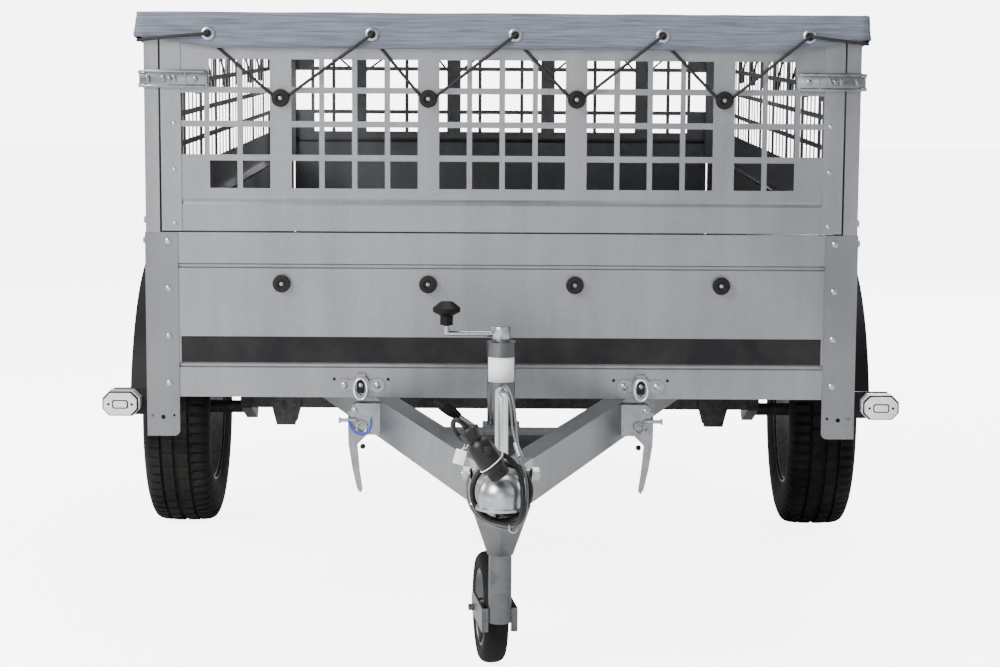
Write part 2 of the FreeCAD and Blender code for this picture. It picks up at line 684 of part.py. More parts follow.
def fender():
    body = new_body("FenderLeft")
    inner = "wheel_x - board_half - fit_gap"
    outer = "wheel_x - board_half - fit_gap - fender_width"
    section = [(inner, "fender_radius"), (outer, "fender_radius"),
               (outer, "fender_radius - fender_lip"),
               (outer + " + fender_thick", "fender_radius - fender_lip"),
               (outer + " + fender_thick", "fender_radius - fender_thick"),
               (inner, "fender_radius - fender_thick")]
    turned(body, outline(body, "FenderSection", "xz", section), "fender_angle")
    body.Placement = Placement(Vector(-size("wheel_x"), size("axle_place"), size("tyre_radius")),
                               Rotation())
    left = finish(body, "fender_left")
    return left, mirrored(left, "fender_right")


# Drawbar

def slanted(piece):
    """Turn a block drawn along Y at the apex to lie along the left beam."""
    piece.Placement = Placement(Vector(0, 0, 0), Rotation(Vector(0, 0, 1), size("beam_angle")))
    bind(piece, {"Placement.Base.y": "-beam_apex"})
    return piece


def beam():
    length = "(hinge_place + beam_apex) / cos(beam_angle) + beam_width"
    bar = slanted(block("BeamBar", "0", "0", "beam_foot", "beam_width", length, "beam_height"))
    room = slanted(block("BeamRoom", "0", "0", "beam_foot + beam_wall",
                         "beam_width - 2 * beam_wall", length, "beam_height - 2 * beam_wall"))
    shift = Vector(size("beam_wall") * math.cos(math.radians(size("beam_angle"))),
                   size("beam_wall") * math.sin(math.radians(size("beam_angle"))), 0)
    room.Placement.Base = room.Placement.Base + shift
    room.setExpression("Placement.Base.y", bound("-beam_apex + beam_wall * sin(beam_angle)"))
    room.setExpression("Placement.Base.x", bound("beam_wall * cos(beam_angle)"))
    tube = less("BeamTube", bar, room)
    middle = block("BeamMiddle", "-fit_gap", "-beam_apex - overrun", "beam_foot - overrun",
                   "hinge_place", "2 * hinge_place", "beam_height + 2 * overrun")
    nose = block("BeamNose", "-hinge_place", "-beam_apex - 2 * overrun", "beam_foot - overrun",
                 "2 * hinge_place", "beam_apex - beam_front + 2 * overrun",
                 "beam_height + 2 * overrun")
    end = block("BeamEnd", "-hinge_place", "hinge_place - sleeve_radius / 2",
                "beam_foot - overrun", "hinge_place", "hinge_place", "beam_height + 2 * overrun")
    trimmed = less("BeamTrimmed", tube, gathered("BeamCuts", [middle, nose, end]))
    sleeve = rod("BeamSleeve", "-hinge_x - sleeve_length / 2", "hinge_place", "hinge_z", "x",
                 "sleeve_radius", "sleeve_length")
    bore = rod("BeamBore", "-hinge_x - sleeve_length", "hinge_place", "hinge_z", "x",
               "hinge_pin_radius + run_gap", "2 * sleeve_length")
    whole = less("BeamLeft", fused("BeamAndSleeve", [trimmed, sleeve]), bore)
    left = finish(whole, "drawbar_beam_left")
    return left, mirrored(left, "drawbar_beam_right")


def hinge_bracket():
    """Two cheeks and a pin under the floor, which the drawbar's sleeve turns on."""
    low = "hinge_z - sleeve_radius - door_gap"
    tall = "bed_height - fit_gap - (%s)" % low
    inner = "sleeve_length / 2 + door_gap / 2"
    cheeks = []
    for name, start in (("Outer", "-hinge_x - (%s) - cheek_thick" % inner),
                        ("Inner", "-hinge_x + (%s)" % inner)):
        cheeks.append(block("HingeCheek" + name, start, "hinge_place - cheek_width / 2", low,
                            "cheek_thick", "cheek_width", tall))
    pin = rod("HingePin", "-hinge_x - (%s) - 2 * cheek_thick" % inner, "hinge_place", "hinge_z", "x",
              "hinge_pin_radius", "2 * (%s) + 4 * cheek_thick" % inner)
    return paired(fused("HingeBracket", cheeks + [pin]), "hinge_brackets")


def inside_half(back):
    """Half of the clear width between the beams, at a distance in front of the box."""
    return ("(beam_apex - (%s)) * tan(beam_angle) - beam_width / cos(beam_angle) - fit_gap" % back)


def crossbar():
    body = new_body("Crossbar")
    front, rear = "cross_reach", "cross_reach - cross_depth"
    points = [("-(%s)" % inside_half(front), "-(%s)" % front),
              ("-(%s)" % inside_half(rear), "-(%s)" % rear),
              (inside_half(rear), "-(%s)" % rear), (inside_half(front), "-(%s)" % front)]
    pad(body, outline(body, "CrossbarPlan", "xy", points, "beam_foot"), "beam_height")
    return finish(body, "drawbar_crossbar")


def coupling():
    """Pressed ball coupling: domed cup with a lip, neck, and a saddle bolted over the nose."""
    foot = Vector(0, -size("ball_place"), size("cup_foot"))
    centre = Vector(0, -size("ball_place"), size("ball_height"))
    drop = size("ball_height") - size("cup_foot")
    up = Vector(0, 0, 1)
    cup = Part.makeCylinder(size("cup_radius"), drop, foot, up)
    cup = cup.fuse([Part.makeSphere(size("cup_radius"), centre, up, 0, 90, 360),
                    Part.makeCylinder(size("lip_radius"), size("lip_height"), foot, up)])
    bore = Part.makeCylinder(size("ball_radius"), drop + size("overrun"),
                             foot - up * size("overrun"), up)
    bore = bore.fuse(Part.makeSphere(size("ball_radius"), centre, up, 0, 90, 360))
    half, low = size("neck_half"), size("beam_top") + size("fit_gap")
    front, nose = size("ball_place"), size("beam_front") + size("fit_gap")
    head = Part.makeBox(2 * half, front - nose, size("neck_top") - size("cup_foot"),
                        Vector(-half, -front, size("cup_foot")))
    neck = Part.makeBox(2 * half, front - size("neck_rear"), size("neck_top") - low,
                        Vector(-half, -front, low))
    shape = cup.fuse([head, neck, saddle_top()] + saddle_cheeks())
    return settled(shape.cut(bore).removeSplitter(), "coupling")


def saddle_half(back):
    """Half of the saddle's width outside, at a distance in front of the box."""
    lean = math.radians(size("beam_angle"))
    wall = size("saddle_thick") + size("fit_gap")
    return (size("beam_apex") - back) * math.tan(lean) + wall / math.cos(lean)


def saddle_top():
    low = size("beam_top") + size("fit_gap")
    corners = []
    for side, back in ((-1, "saddle_front"), (-1, "saddle_rear"), (1, "saddle_rear"),
                       (1, "saddle_front"), (-1, "saddle_front")):
        corners.append(Vector(side * saddle_half(size(back)), -size(back), low))
    return Part.Face(Part.makePolygon(corners)).extrude(Vector(0, 0, size("saddle_thick")))


def saddle_cheeks():
    """Plates against the outer faces of the two beams, each with a bolt head."""
    lean = math.radians(size("beam_angle"))
    start = (size("beam_apex") - size("saddle_front")) / math.cos(lean)
    run = (size("saddle_front") - size("saddle_rear")) / math.cos(lean)
    level = size("bed_height") - size("bolt_drop")
    low = level - size("bolt_drop")
    top = size("beam_top") + size("fit_gap") + size("saddle_thick")
    along = (size("beam_apex") - size("bolt_place")) / math.cos(lean)
    cheek = Part.makeBox(size("saddle_thick"), run, top - low,
                         Vector(-size("fit_gap") - size("saddle_thick"), start, low))
    head = Part.makeCylinder(size("bolt_radius"), size("bolt_height") + size("saddle_thick"),
                             Vector(-size("fit_gap"), along, level), Vector(-1, 0, 0))
    left = cheek.fuse(head)
    left.rotate(Vector(0, 0, 0), Vector(0, 0, 1), size("beam_angle"))
    left.translate(Vector(0, -size("beam_apex"), 0))
    return [left, left.mirror(Vector(0, 0, 0), Vector(1, 0, 0))]


def coupling_handle():
    """Slotted strap with a round head, leaning back from its pivot on the neck."""
    thick, half = size("handle_thick"), size("handle_width") / 2
    foot = Vector(0, -size("handle_front"), size("neck_top") + size("fit_gap") + thick)
    climb = size("bed_height") + size("handle_rise") - foot.z
    length = math.hypot(size("handle_run"), climb) - half
    side = Vector(0, -1, 0)
    strap = Part.makeBox(2 * half, thick, length, Vector(-half, -thick / 2, 0))
    head = Part.makeCylinder(half, thick, Vector(0, thick / 2, length), side)
    slot = Part.makeBox(half, 2 * thick, length - half, Vector(-half / 2, -thick, half))
    slot = slot.fuse(Part.makeCylinder(half / 2, 2 * thick, Vector(0, thick, length), side))
    pivot = Part.makeCylinder(thick, 2 * half, Vector(-half, 0, 0), Vector(1, 0, 0))
    shape = strap.fuse(head).cut(slot).fuse(pivot).removeSplitter()
    shape.rotate(Vector(0, 0, 0), Vector(1, 0, 0), -math.degrees(math.atan2(size("handle_run"), climb)))
    shape.translate(foot)
    return settled(shape, "coupling_handle")


def gusset():
    """V-folded brace from under the drawbar's nose down to the foot of the jack's tube."""
    wall = size("beam_wall")
    low_y = -size("jack_place") - size("outer_radius") - size("fit_gap") - size("gusset_foot_depth")
    rings = []
    for end, y, z in (("top", -size("gusset_place"), size("beam_foot") - size("fit_gap")),
                      ("foot", low_y, size("outer_foot"))):
        half, depth = size("gusset_%s_half" % end), size("gusset_%s_depth" % end)
        rings.append(Part.makePolygon([Vector(-half, y + depth, z), Vector(0, y, z),
                                       Vector(half, y + depth, z), Vector(half - wall, y + depth, z),
                                       Vector(0, y + size("gusset_fold"), z),
                                       Vector(-half + wall, y + depth, z),
                                       Vector(-half, y + depth, z)]))
    return settled(Part.makeLoft(rings, True, True), "jack_gusset")


def jack_tubes():
    y = "-jack_place"
    outer = rod("OuterTube", "0", y, "outer_foot", "z", "outer_radius", "outer_top - outer_foot")
    cap = rod("OuterCap", "0", y, "outer_top", "z", "cap_radius", "cap_height")
    bore = rod("OuterBore", "0", y, "outer_foot - overrun", "z", "outer_bore",
               "outer_top - outer_foot + overrun")
    finish(less("JackOuterTube", fused("OuterWhole", [outer, cap]), bore), "jack_outer_tube")
    inner = rod("InnerTube", "0", y, "inner_foot", "z", "inner_radius", "inner_top - inner_foot")
    room = rod("InnerRoom", "0", y, "inner_foot - overrun", "z", "inner_radius - inner_wall",
               "inner_top - inner_foot + 2 * overrun")
    finish(less("JackInnerTube", inner, room), "jack_inner_tube")
    nut = rod("JackNut", "0", y, "inner_top + fit_gap", "z", "inner_radius", "nut_height")
    finish(nut, "jack_nut")


def jack_clamp():
    """Split clamp behind the crossbar, with its tommy bar and grip."""
    rear = "-cross_reach + cross_depth + fit_gap"
    low = "beam_top - clamp_height"
    body = block("ClampBody", "-clamp_radius", rear, low, "2 * clamp_radius",
                 "cross_reach - cross_depth - jack_place - fit_gap + clamp_radius", "clamp_height")
    bore = rod("ClampBore", "0", "-jack_place", low + " - overrun", "z", "outer_radius + fit_gap",
               "clamp_height + 2 * overrun")
    whole = fused("ClampWhole", [less("ClampBored", body, bore), kept("ClampBar", clamp_bar())])
    finish(whole, "jack_clamp")


def clamp_bar():
    start = Vector(-size("clamp_radius"), -size("rod_place"), size("beam_top") - size("rod_low"))
    boss = Part.makeCylinder(size("clamp_boss"), 2 * size("clamp_boss"),
                             start + Vector(size("clamp_boss"), 0, 0), Vector(-1, 0, 0))
    way = Vector(-size("rod_run"), 0, size("rod_climb")).normalize()
    bar = Part.makeCylinder(size("clamp_rod"), size("rod_length") + size("grip_end"), start, way)
    knuckle, third = start + way * size("rod_length"), size("grip_length") / 3
    grip = Part.makeCone(size("grip_end"), size("grip_radius"), third, knuckle, way)
    return boss.fuse([bar, grip,
                      Part.makeCylinder(size("grip_radius"), third, knuckle + way * third, way),
                      Part.makeCone(size("grip_radius"), size("grip_end"), third,
                                    knuckle + way * (2 * third), way)])


def jack_crank():
    top = "outer_top + cap_height + fit_gap"
    level = top + " + boss_height / 2"
    boss = rod("CrankBoss", "0", "-jack_place", top, "z", "boss_radius", "boss_height")
    arm = rod("CrankArm", "-crank_reach", "-jack_place", level, "x", "crank_radius", "crank_reach")
    stem = rod("CrankStem", "-crank_reach", "-jack_place", level, "z", "crank_radius",
               "knob_lift + knob_neck")
    knob = new_body("CrankKnob")
    foot = level + " + knob_lift"
    head = foot + " + knob_neck"
    points = [("0", foot), ("knob_waist", foot), ("knob_waist", head),
              ("knob_radius", head + " + knob_edge"), ("knob_radius", head + " + 2 * knob_edge"),
              ("knob_waist", head + " + knob_height"), ("0", head + " + knob_height")]
    turned(knob, outline(knob, "KnobSection", "xz", points), axis="V_Axis")
    knob.Placement = Placement(Vector(-size("crank_reach"), -size("jack_place"), 0), Rotation())
    return finish(fused("JackCrank", [boss, arm, stem, knob]), "jack_crank")


def castor_placement():
    """The castor's own frame: origin on the tube's axis, Y towards the jack wheel's axle."""
    return Placement(Vector(0, -size("jack_place"), 0),
                     Rotation(Vector(0, 0, 1), size("castor_turn")))


def jack_fork():
    low = "jack_axle_height + fork_lift - fork_height / 2"
    outer = "fork_inside + fork_thick"
    parts = []
    for side, start in (("Left", "-(%s)" % outer), ("Right", "fork_inside")):
        parts.append(block("ForkArm" + side, start, "0", low, "fork_thick", "jack_trail",
                           "fork_height"))
        parts.append(rod("ForkEnd" + side, start, "jack_trail", "jack_axle_height + fork_lift", "x",
                         "fork_height / 2", "fork_thick"))
    web = block("ForkWeb", "-(%s)" % outer, "0", low, "2 * (%s)" % outer, "fork_thick",
                "fork_height")
    bore = rod("ForkBore", "0", "0", low + " - overrun", "z", "inner_radius + fit_gap",
               "fork_height + 2 * overrun")
    bolt = rod("ForkBolt", "-(%s) - 2 * fork_thick" % outer, "jack_trail", "jack_axle_height", "x",
               "jack_bolt_radius", "2 * (%s) + 4 * fork_thick" % outer)
    whole = fused("JackFork", [less("ForkStrap", fused("ForkArms", parts + [web]), bore), bolt])
    whole.Placement = castor_placement()
    return finish(whole, "jack_fork")


def jack_wheel():
    centre = castor_placement().multiply(
        Placement(Vector(0, size("jack_trail"), size("jack_axle_height")), Rotation()))
    half = "jack_tyre_width / 2"
    bead = "jack_bead_share * " + half
    tyre = new_body("JackTyre")
    flank, crown = "jack_flank_share * jack_tyre_radius", "jack_crown_share * " + half
    section = [("-" + bead, "jack_rim_radius"), ("-" + half, flank), ("-" + crown, "jack_tyre_radius"),
               (crown, "jack_tyre_radius"), (half, flank), (bead, "jack_rim_radius")]
    turned(tyre, outline(tyre, "JackTyreSection", "xz", section))
    tyre.Placement = centre
    finish(tyre, "jack_tyre")
    rim = new_body("JackRim")
    bore, edge = "jack_bolt_radius + run_gap", "jack_rim_radius - fit_gap"
    web, inside = "jack_web_share * " + half, "jack_rim_radius - fit_gap - fork_thick"
    section = [("-" + bead, edge), (bead, edge), (bead, inside), (web, inside), (web, "jack_hub_radius"),
               (half, "jack_hub_radius"), (half, bore), ("-" + half, bore),
               ("-" + half, "jack_hub_radius"), ("-" + web, "jack_hub_radius"), ("-" + web, inside),
               ("-" + bead, inside)]
    turned(rim, outline(rim, "JackRimSection", "xz", section))
    rim.Placement = centre
    finish(rim, "jack_rim")


# Latches between drawbar and box

def tip_latch():
    """Folded housing on the beam's outer face with the lever between its two walls."""
    inner = "(beam_apex - latch_depth - door_gap) * tan(beam_angle)"
    outer = "-latch_outer + latch_inset"
    shell = new_body("LatchShell")
    points = [(outer, "latch_foot"), (outer, "latch_top - latch_round"),
              (outer + " + latch_round / 3", "latch_top - latch_round / 3"),
              (outer + " + latch_round", "latch_top"), ("-(%s)" % inner, "latch_top"),
              ("-(%s)" % inner, "latch_foot")]
    pad(shell, outline(shell, "LatchShape", "xz", points, "door_gap"), "latch_depth")
    room = block("LatchRoom", "-latch_outer - overrun", "-latch_depth - door_gap + latch_wall",
                 "latch_foot - overrun", "overrun + latch_outer - latch_line - latch_wall",
                 "latch_depth - 2 * latch_wall", "latch_height + 2 * overrun")
    face = slanted(block("LatchFace", "-fit_gap", "0", "beam_foot - overrun", "beam_width",
                         "hinge_place", "beam_height + 2 * overrun"))
    body = less("LatchBody", shell, gathered("LatchCuts", [room, face]))
    lever = new_body("LatchLever")
    points = [("-latch_outer + %s * lever_span" % across, "lever_foot + %s * lever_height" % up)
              for across, up in LEVER_SHARES]
    pad(lever, outline(lever, "LeverShape", "xz", points,
                       "door_gap + latch_depth / 2 - lever_thick / 2"), "lever_thick")
    rivet = rod("LatchRivet", "-latch_outer + rivet_inset", "-latch_depth - door_gap - rivet_proud",
                "latch_foot + rivet_rise", "y", "lever_rivet", "latch_depth + rivet_proud")
    return paired(fused("TipLatch", [body, lever, rivet]), "tip_latches")


def tip_keeper():
    """Bracket with two ears on the board and the wire loop that the latch pulls down."""
    low = "bed_height + ear_rise - keeper_height / 2"
    pieces = [block("KeeperPlate", "-keeper_place - ear_spread", "-keeper_thick - fit_gap", low,
                    "2 * ear_spread", "keeper_thick", "keeper_height"),
              block("KeeperHousing", "-keeper_place - housing_half", "-housing_depth - fit_gap",
                    "bed_height + housing_low", "2 * housing_half", "housing_depth",
                    "housing_height")]
    for side, sign in (("Left", "-"), ("Right", "+")):
        pieces.append(rod("KeeperEar" + side, "-keeper_place %s ear_spread" % sign,
                          "-keeper_thick - fit_gap", "bed_height + ear_rise", "y", "ear_radius",
                          "keeper_thick"))
    front = "housing_depth + fit_gap - loop_wire / 2"
    solids = []
    for name, half, tall in (("Outer", "loop_half", "loop_tall"),
                             ("Inner", "(loop_half - loop_wire)", "(loop_tall - loop_wire)")):
        body = new_body("KeeperLoop" + name)
        ring = LOOP_SHARES + tuple((-across, up) for across, up in LOOP_SHARES[-2:0:-1])
        points = [("-keeper_place + %s * %s" % (across, half), "loop_level + %s * %s" % (up, tall))
                  for across, up in ring]
        pad(body, outline(body, "LoopShape" + name, "xz", points, front), "loop_wire")
        solids.append(body)
    pieces.append(less("KeeperLoop", solids[0], solids[1]))
    return paired(fused("TipKeeper", pieces), "tip_keepers")


# Lamps

def front_lamp():
    body = new_body("FrontLamp")
    x, z = "lamp_width / 2", "lamp_height / 2"
    points = []
    for sx, sz in ((-1, -1), (1, -1), (1, 1), (-1, 1)):
        pair = [("%d * (%s) - lamp_place" % (sx, x), "%d * (%s - lamp_cut) + lamp_level" % (sz, z)),
                ("%d * (%s - lamp_cut) - lamp_place" % (sx, x), "%d * (%s) + lamp_level" % (sz, z))]
        points += pair if sx == sz else pair[::-1]
    pad(body, outline(body, "FrontLampFace", "xz", points, "lamp_front"), "lamp_depth", back=True)
    paired(body, "front_lamps")
    arm = block("LampArm", "-lamp_place - lamp_width / 4", "lamp_depth - lamp_front + fit_gap",
                "lamp_level - lamp_arm_height / 2",
                "lamp_place + lamp_width / 4 - box_width / 2 - fit_gap", "lamp_arm_thick",
                "lamp_arm_height")
    paired(arm, "lamp_arms")


def rear_lighting():
    face = "box_length - bar_rear"
    top = "bed_height - fit_gap"
    half = "board_half"
    plate = block("LightBarPlate", "-(%s)" % half, face + " - bar_thick", top + " - bar_height",
                  "2 * (%s)" % half, "bar_thick", "bar_height")
    flange = block("LightBarFlange", "-(%s)" % half, face + " - bar_flange", top + " - bar_thick",
                   "2 * (%s)" % half, "bar_flange", "bar_thick")
    finish(fused("LightBar", [plate, flange]), "light_bar")
    lamp = block("TailLamp", "-(%s) + tail_margin" % half, face + " + fit_gap",
                 top + " - tail_height - tail_margin", "tail_width", "tail_depth", "tail_height")
    paired(lamp, "tail_lamps")
    carrier = block("PlateCarrier", "-plate_width / 2", face + " + fit_gap",
                    top + " - carrier_height", "plate_width", "bar_thick", "carrier_height")
    finish(carrier, "plate_carrier")


def build():
    front_board()
    side_board()
    tailgate()
    corner_plates()
    load_floor()
    cross_members()
    end_panel("mesh_panel_front", False)
    end_panel("mesh_panel_rear", True)
    side_panel()
    corner_clips()
    tarpaulin()
    wheel(-1, "left")
    wheel(1, "right")
    axle_beam()
    axle_arm()
    axle_bracket()
    fender()
    beam()
    hinge_bracket()
    crossbar()
    coupling()
    coupling_handle()
    gusset()
    jack_tubes()
    jack_clamp()
    jack_crank()
    jack_fork()
    jack_wheel()
    tip_latch()
    tip_keeper()
    front_lamp()
    rear_lighting()
    doc.recompute()


def check_and_write():
    for item in doc.Objects:
        if "Invalid" in item.State or "Error" in item.State:
            raise ValueError("%s failed: %s" % (item.Label, item.State))
    for piece in SUB_PARTS:
        if piece.Shape.isNull() or not piece.Shape.isValid():
            raise ValueError(piece.Label + " has no valid shape")
    os.makedirs("parts", exist_ok=True)
    for piece in SUB_PARTS:
        piece.Shape.exportStep(os.path.join("parts", piece.Label + ".step"))


build()
check_and_write()
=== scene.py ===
import math

import bmesh
import bpy
from mathutils import Matrix, Vector, noise


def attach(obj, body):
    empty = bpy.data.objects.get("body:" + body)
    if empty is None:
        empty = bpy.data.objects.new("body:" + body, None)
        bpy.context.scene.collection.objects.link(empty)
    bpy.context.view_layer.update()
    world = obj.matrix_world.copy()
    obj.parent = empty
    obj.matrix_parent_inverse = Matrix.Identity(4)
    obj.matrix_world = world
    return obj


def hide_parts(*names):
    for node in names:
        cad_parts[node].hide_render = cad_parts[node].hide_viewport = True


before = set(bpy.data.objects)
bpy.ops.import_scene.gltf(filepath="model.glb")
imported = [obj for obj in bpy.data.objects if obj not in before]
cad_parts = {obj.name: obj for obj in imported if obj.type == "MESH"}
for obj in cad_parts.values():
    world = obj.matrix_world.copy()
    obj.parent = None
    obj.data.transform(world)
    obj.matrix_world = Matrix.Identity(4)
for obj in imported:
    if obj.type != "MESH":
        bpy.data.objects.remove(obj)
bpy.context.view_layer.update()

# The parked utility trailer. Pieces are laid out level, in metres: X to the right,
# Y to the rear from the front board's face, Z up from the road, and then lean as parked.

LEAN = math.radians(1.970686)
STAND = Vector((0, -0.777538, -0.044715))
LEANED = Matrix.Translation(STAND) @ Matrix.Rotation(LEAN, 4, "X")

BOX_HALF = 0.650
POST_HALF = 0.648
COVER_HALF = 0.6575
COVER_FRONT = -0.0095
COVER_TOP = 1.2045
SKIRT = 0.064
BOX_LENGTH = 2.420
WHEEL_X = 0.7475
AXLE_Y = 1.305
TYRE_RADIUS = 0.2735
BUTTON_PLACES = (-0.401, -0.134, 0.134, 0.401)
EYELET_PLACES = (-0.530, -0.2355, 0.0225, 0.2875, 0.5515)
SIDE_BUTTONS = tuple(1.210 + 0.13375 * odd for odd in range(-7, 8, 2))
SIDE_EYELETS = (0.13, *(place + 0.135 for place in SIDE_BUTTONS[:-1]), 2.29)
UPPER_BUTTONS = 1.0515
LOWER_BUTTONS = 0.7145
EYELET_LEVEL = 1.1665


# Finishes

def tone(red, green, blue):
    """A colour picked on the screen's scale, as the linear values that a shader takes."""
    def linear(value):
        share = value / 255
        return share / 12.92 if share <= 0.04045 else ((share + 0.055) / 1.055) ** 2.4
    return linear(red), linear(green), linear(blue), 1.0


def add(tree, kind, sockets=None, **traits):
    """One shader node, whose sockets get plain values or links from other nodes."""
    made = tree.nodes.new("ShaderNode" + kind)
    for trait, value in traits.items():
        setattr(made, trait, value)
    for socket, value in (sockets or {}).items():
        if isinstance(value, bpy.types.NodeSocket):
            tree.links.new(value, made.inputs[socket])
        else:
            made.inputs[socket].default_value = value
    return made


def fed(tree, node, **values):
    """Links values to a node's sockets."""
    for socket, value in values.items():
        tree.links.new(value, node.inputs[socket.replace("_", " ")])


def effect(name, inputs, outputs):
    """An empty node group with its sockets."""
    tree = bpy.data.node_groups.new(name, "ShaderNodeTree")
    for label, kind in inputs:
        tree.interface.new_socket(label, in_out="INPUT", socket_type="NodeSocket" + kind)
    for label, kind in outputs:
        tree.interface.new_socket(label, in_out="OUTPUT", socket_type="NodeSocket" + kind)
    return tree, tree.nodes.new("NodeGroupInput"), tree.nodes.new("NodeGroupOutput")


def zinc_bloom():
    """Galvanised surface: crystal flakes, cloudy patches, run marks and a fine tooth."""
    tree, given, result = effect("zinc_bloom", [("Place", "Vector"), ("Flake Scale", "Float")],
                                 [("Flakes", "Float"), ("Clouds", "Float"), ("Runs", "Float"),
                                  ("Tooth", "Float")])
    flakes = add(tree, "TexVoronoi", {"Vector": given.outputs["Place"],
                                      "Scale": given.outputs["Flake Scale"]})
    split = add(tree, "SeparateColor", {"Color": flakes.outputs["Color"]})
    clouds = add(tree, "TexNoise", {"Vector": given.outputs["Place"], "Scale": 5.0, "Detail": 6.0})
    drawn = add(tree, "Mapping", {"Vector": given.outputs["Place"], "Scale": (14.0, 14.0, 0.9)})
    runs = add(tree, "TexNoise", {"Vector": drawn.outputs["Vector"], "Scale": 2.0, "Detail": 5.0})
    tooth = add(tree, "TexNoise", {"Vector": given.outputs["Place"], "Scale": 700.0, "Detail": 2.0})
    fed(tree, result, Flakes=split.outputs["Red"], Clouds=clouds.outputs["Fac"],
        Runs=runs.outputs["Fac"], Tooth=tooth.outputs["Fac"])
    return tree


def road_dust():
    """Dust that gathers low on the trailer, broken up by patches."""
    tree, given, result = effect("road_dust", [("Place", "Vector"), ("Amount", "Float")],
                                 [("Mask", "Float")])
    split = add(tree, "SeparateXYZ", {"Vector": given.outputs["Place"]})
    low = add(tree, "MapRange", {"Value": split.outputs["Z"], "From Min": 0.9, "From Max": 0.0,
                                 "To Min": 0.15, "To Max": 1.0})
    patches = add(tree, "TexNoise", {"Vector": given.outputs["Place"], "Scale": 9.0,
                                     "Detail": 8.0, "Roughness": 0.65})
    sharper = add(tree, "MapRange", {"Value": patches.outputs["Fac"], "From Min": 0.42,
                                     "From Max": 0.72})
    both = add(tree, "Math", {0: low.outputs["Result"], 1: sharper.outputs["Result"]},
               operation="MULTIPLY")
    mask = add(tree, "Math", {0: both.outputs["Value"], 1: given.outputs["Amount"]},
               operation="MULTIPLY", use_clamp=True)
    fed(tree, result, Mask=mask.outputs["Value"])
    return tree


def moulded_grain():
    """Fine pebbled grain of moulded plastic and rubber, with soft colour patches."""
    tree, given, result = effect("moulded_grain", [("Place", "Vector"), ("Grain Scale", "Float")],
                                 [("Pebble", "Float"), ("Patches", "Float")])
    pebble = add(tree, "TexVoronoi", {"Vector": given.outputs["Place"],
                                      "Scale": given.outputs["Grain Scale"]},
                 feature="SMOOTH_F1")
    patches = add(tree, "TexNoise", {"Vector": given.outputs["Place"], "Scale": 18.0,
                                     "Detail": 5.0})
    fed(tree, result, Pebble=pebble.outputs["Distance"], Patches=patches.outputs["Fac"])
    return tree


EFFECTS = {"bloom": zinc_bloom(), "dust": road_dust(), "grain": moulded_grain()}
DUST = tone(146, 140, 128)


def placed_effect(tree, name, place, **values):
    """A shared effect placed in a material, with this material's own values."""
    made = tree.nodes.new("ShaderNodeGroup")
    made.node_tree = EFFECTS[name]
    tree.links.new(place, made.inputs["Place"])
    for socket, value in values.items():
        made.inputs[socket.replace("_", " ")].default_value = value
    return made


def blank(name, **shader):
    """A material with its Principled shader, and the object's own coordinates."""
    made = bpy.data.materials.new(name)
    made.use_nodes = True
    tree = made.node_tree
    principled = tree.nodes["Principled BSDF"]
    for socket, value in shader.items():
        principled.inputs[socket.replace("_", " ")].default_value = value
    place = add(tree, "TexCoord").outputs["Object"]
    return made, tree, principled, place


def blended(tree, share, first, second):
    """Colour between two colours or colour sockets."""
    return add(tree, "Mix", {0: share, 6: first, 7: second}, data_type="RGBA").outputs[2]


def spread(tree, value, low, high, start=0.3, end=0.7):
    """A value mapped from a texture's usual range to low and high."""
    return add(tree, "MapRange", {"Value": value, "From Min": start, "From Max": end,
                                  "To Min": low, "To Max": high}).outputs["Result"]


def embossed(tree, principled, height, strength, depth):
    bump = add(tree, "Bump", {"Height": height, "Strength": strength, "Distance": depth})
    fed(tree, principled, Normal=bump.outputs["Normal"])


def dusted(tree, place, colour, amount, dust=DUST):
    """A colour with road dust on it."""
    grime = placed_effect(tree, "dust", place, Amount=amount)
    return blended(tree, grime.outputs["Mask"], colour, dust)


def zinc(name, dark, light, metallic, rough, flake_scale=90.0, dust=0.35, runs=0.5, tooth=0.12,
         **shader):
    """Zinc-coated steel."""
    made, tree, principled, place = blank(name, Metallic=metallic, **shader)
    bloom = placed_effect(tree, "bloom", place, Flake_Scale=flake_scale)
    flaked = add(tree, "Mix", {0: runs, 2: bloom.outputs["Flakes"], 3: bloom.outputs["Runs"]})
    cloudy = add(tree, "Mix", {0: 0.45, 2: flaked.outputs[0], 3: bloom.outputs["Clouds"]})
    colour = blended(tree, spread(tree, cloudy.outputs[0], 0.0, 1.0), dark, light)
    fed(tree, principled, Base_Color=dusted(tree, place, colour, dust),
        Roughness=spread(tree, bloom.outputs["Clouds"], rough - 0.04, rough + 0.06))
    embossed(tree, principled, bloom.outputs["Tooth"], tooth, 0.0003)
    return made


def moulded(name, dark, light, rough, grain_scale=900.0, dust=0.3, depth=0.0003, **shader):
    """Moulded plastic or rubber."""
    made, tree, principled, place = blank(name, **shader)
    grain = placed_effect(tree, "grain", place, Grain_Scale=grain_scale)
    colour = blended(tree, spread(tree, grain.outputs["Patches"], 0.0, 1.0), dark, light)
    fed(tree, principled, Base_Color=dusted(tree, place, colour, dust),
        Roughness=spread(tree, grain.outputs["Patches"], rough - 0.05, rough + 0.07))
    embossed(tree, principled, grain.outputs["Pebble"], 0.35, depth)
    return made


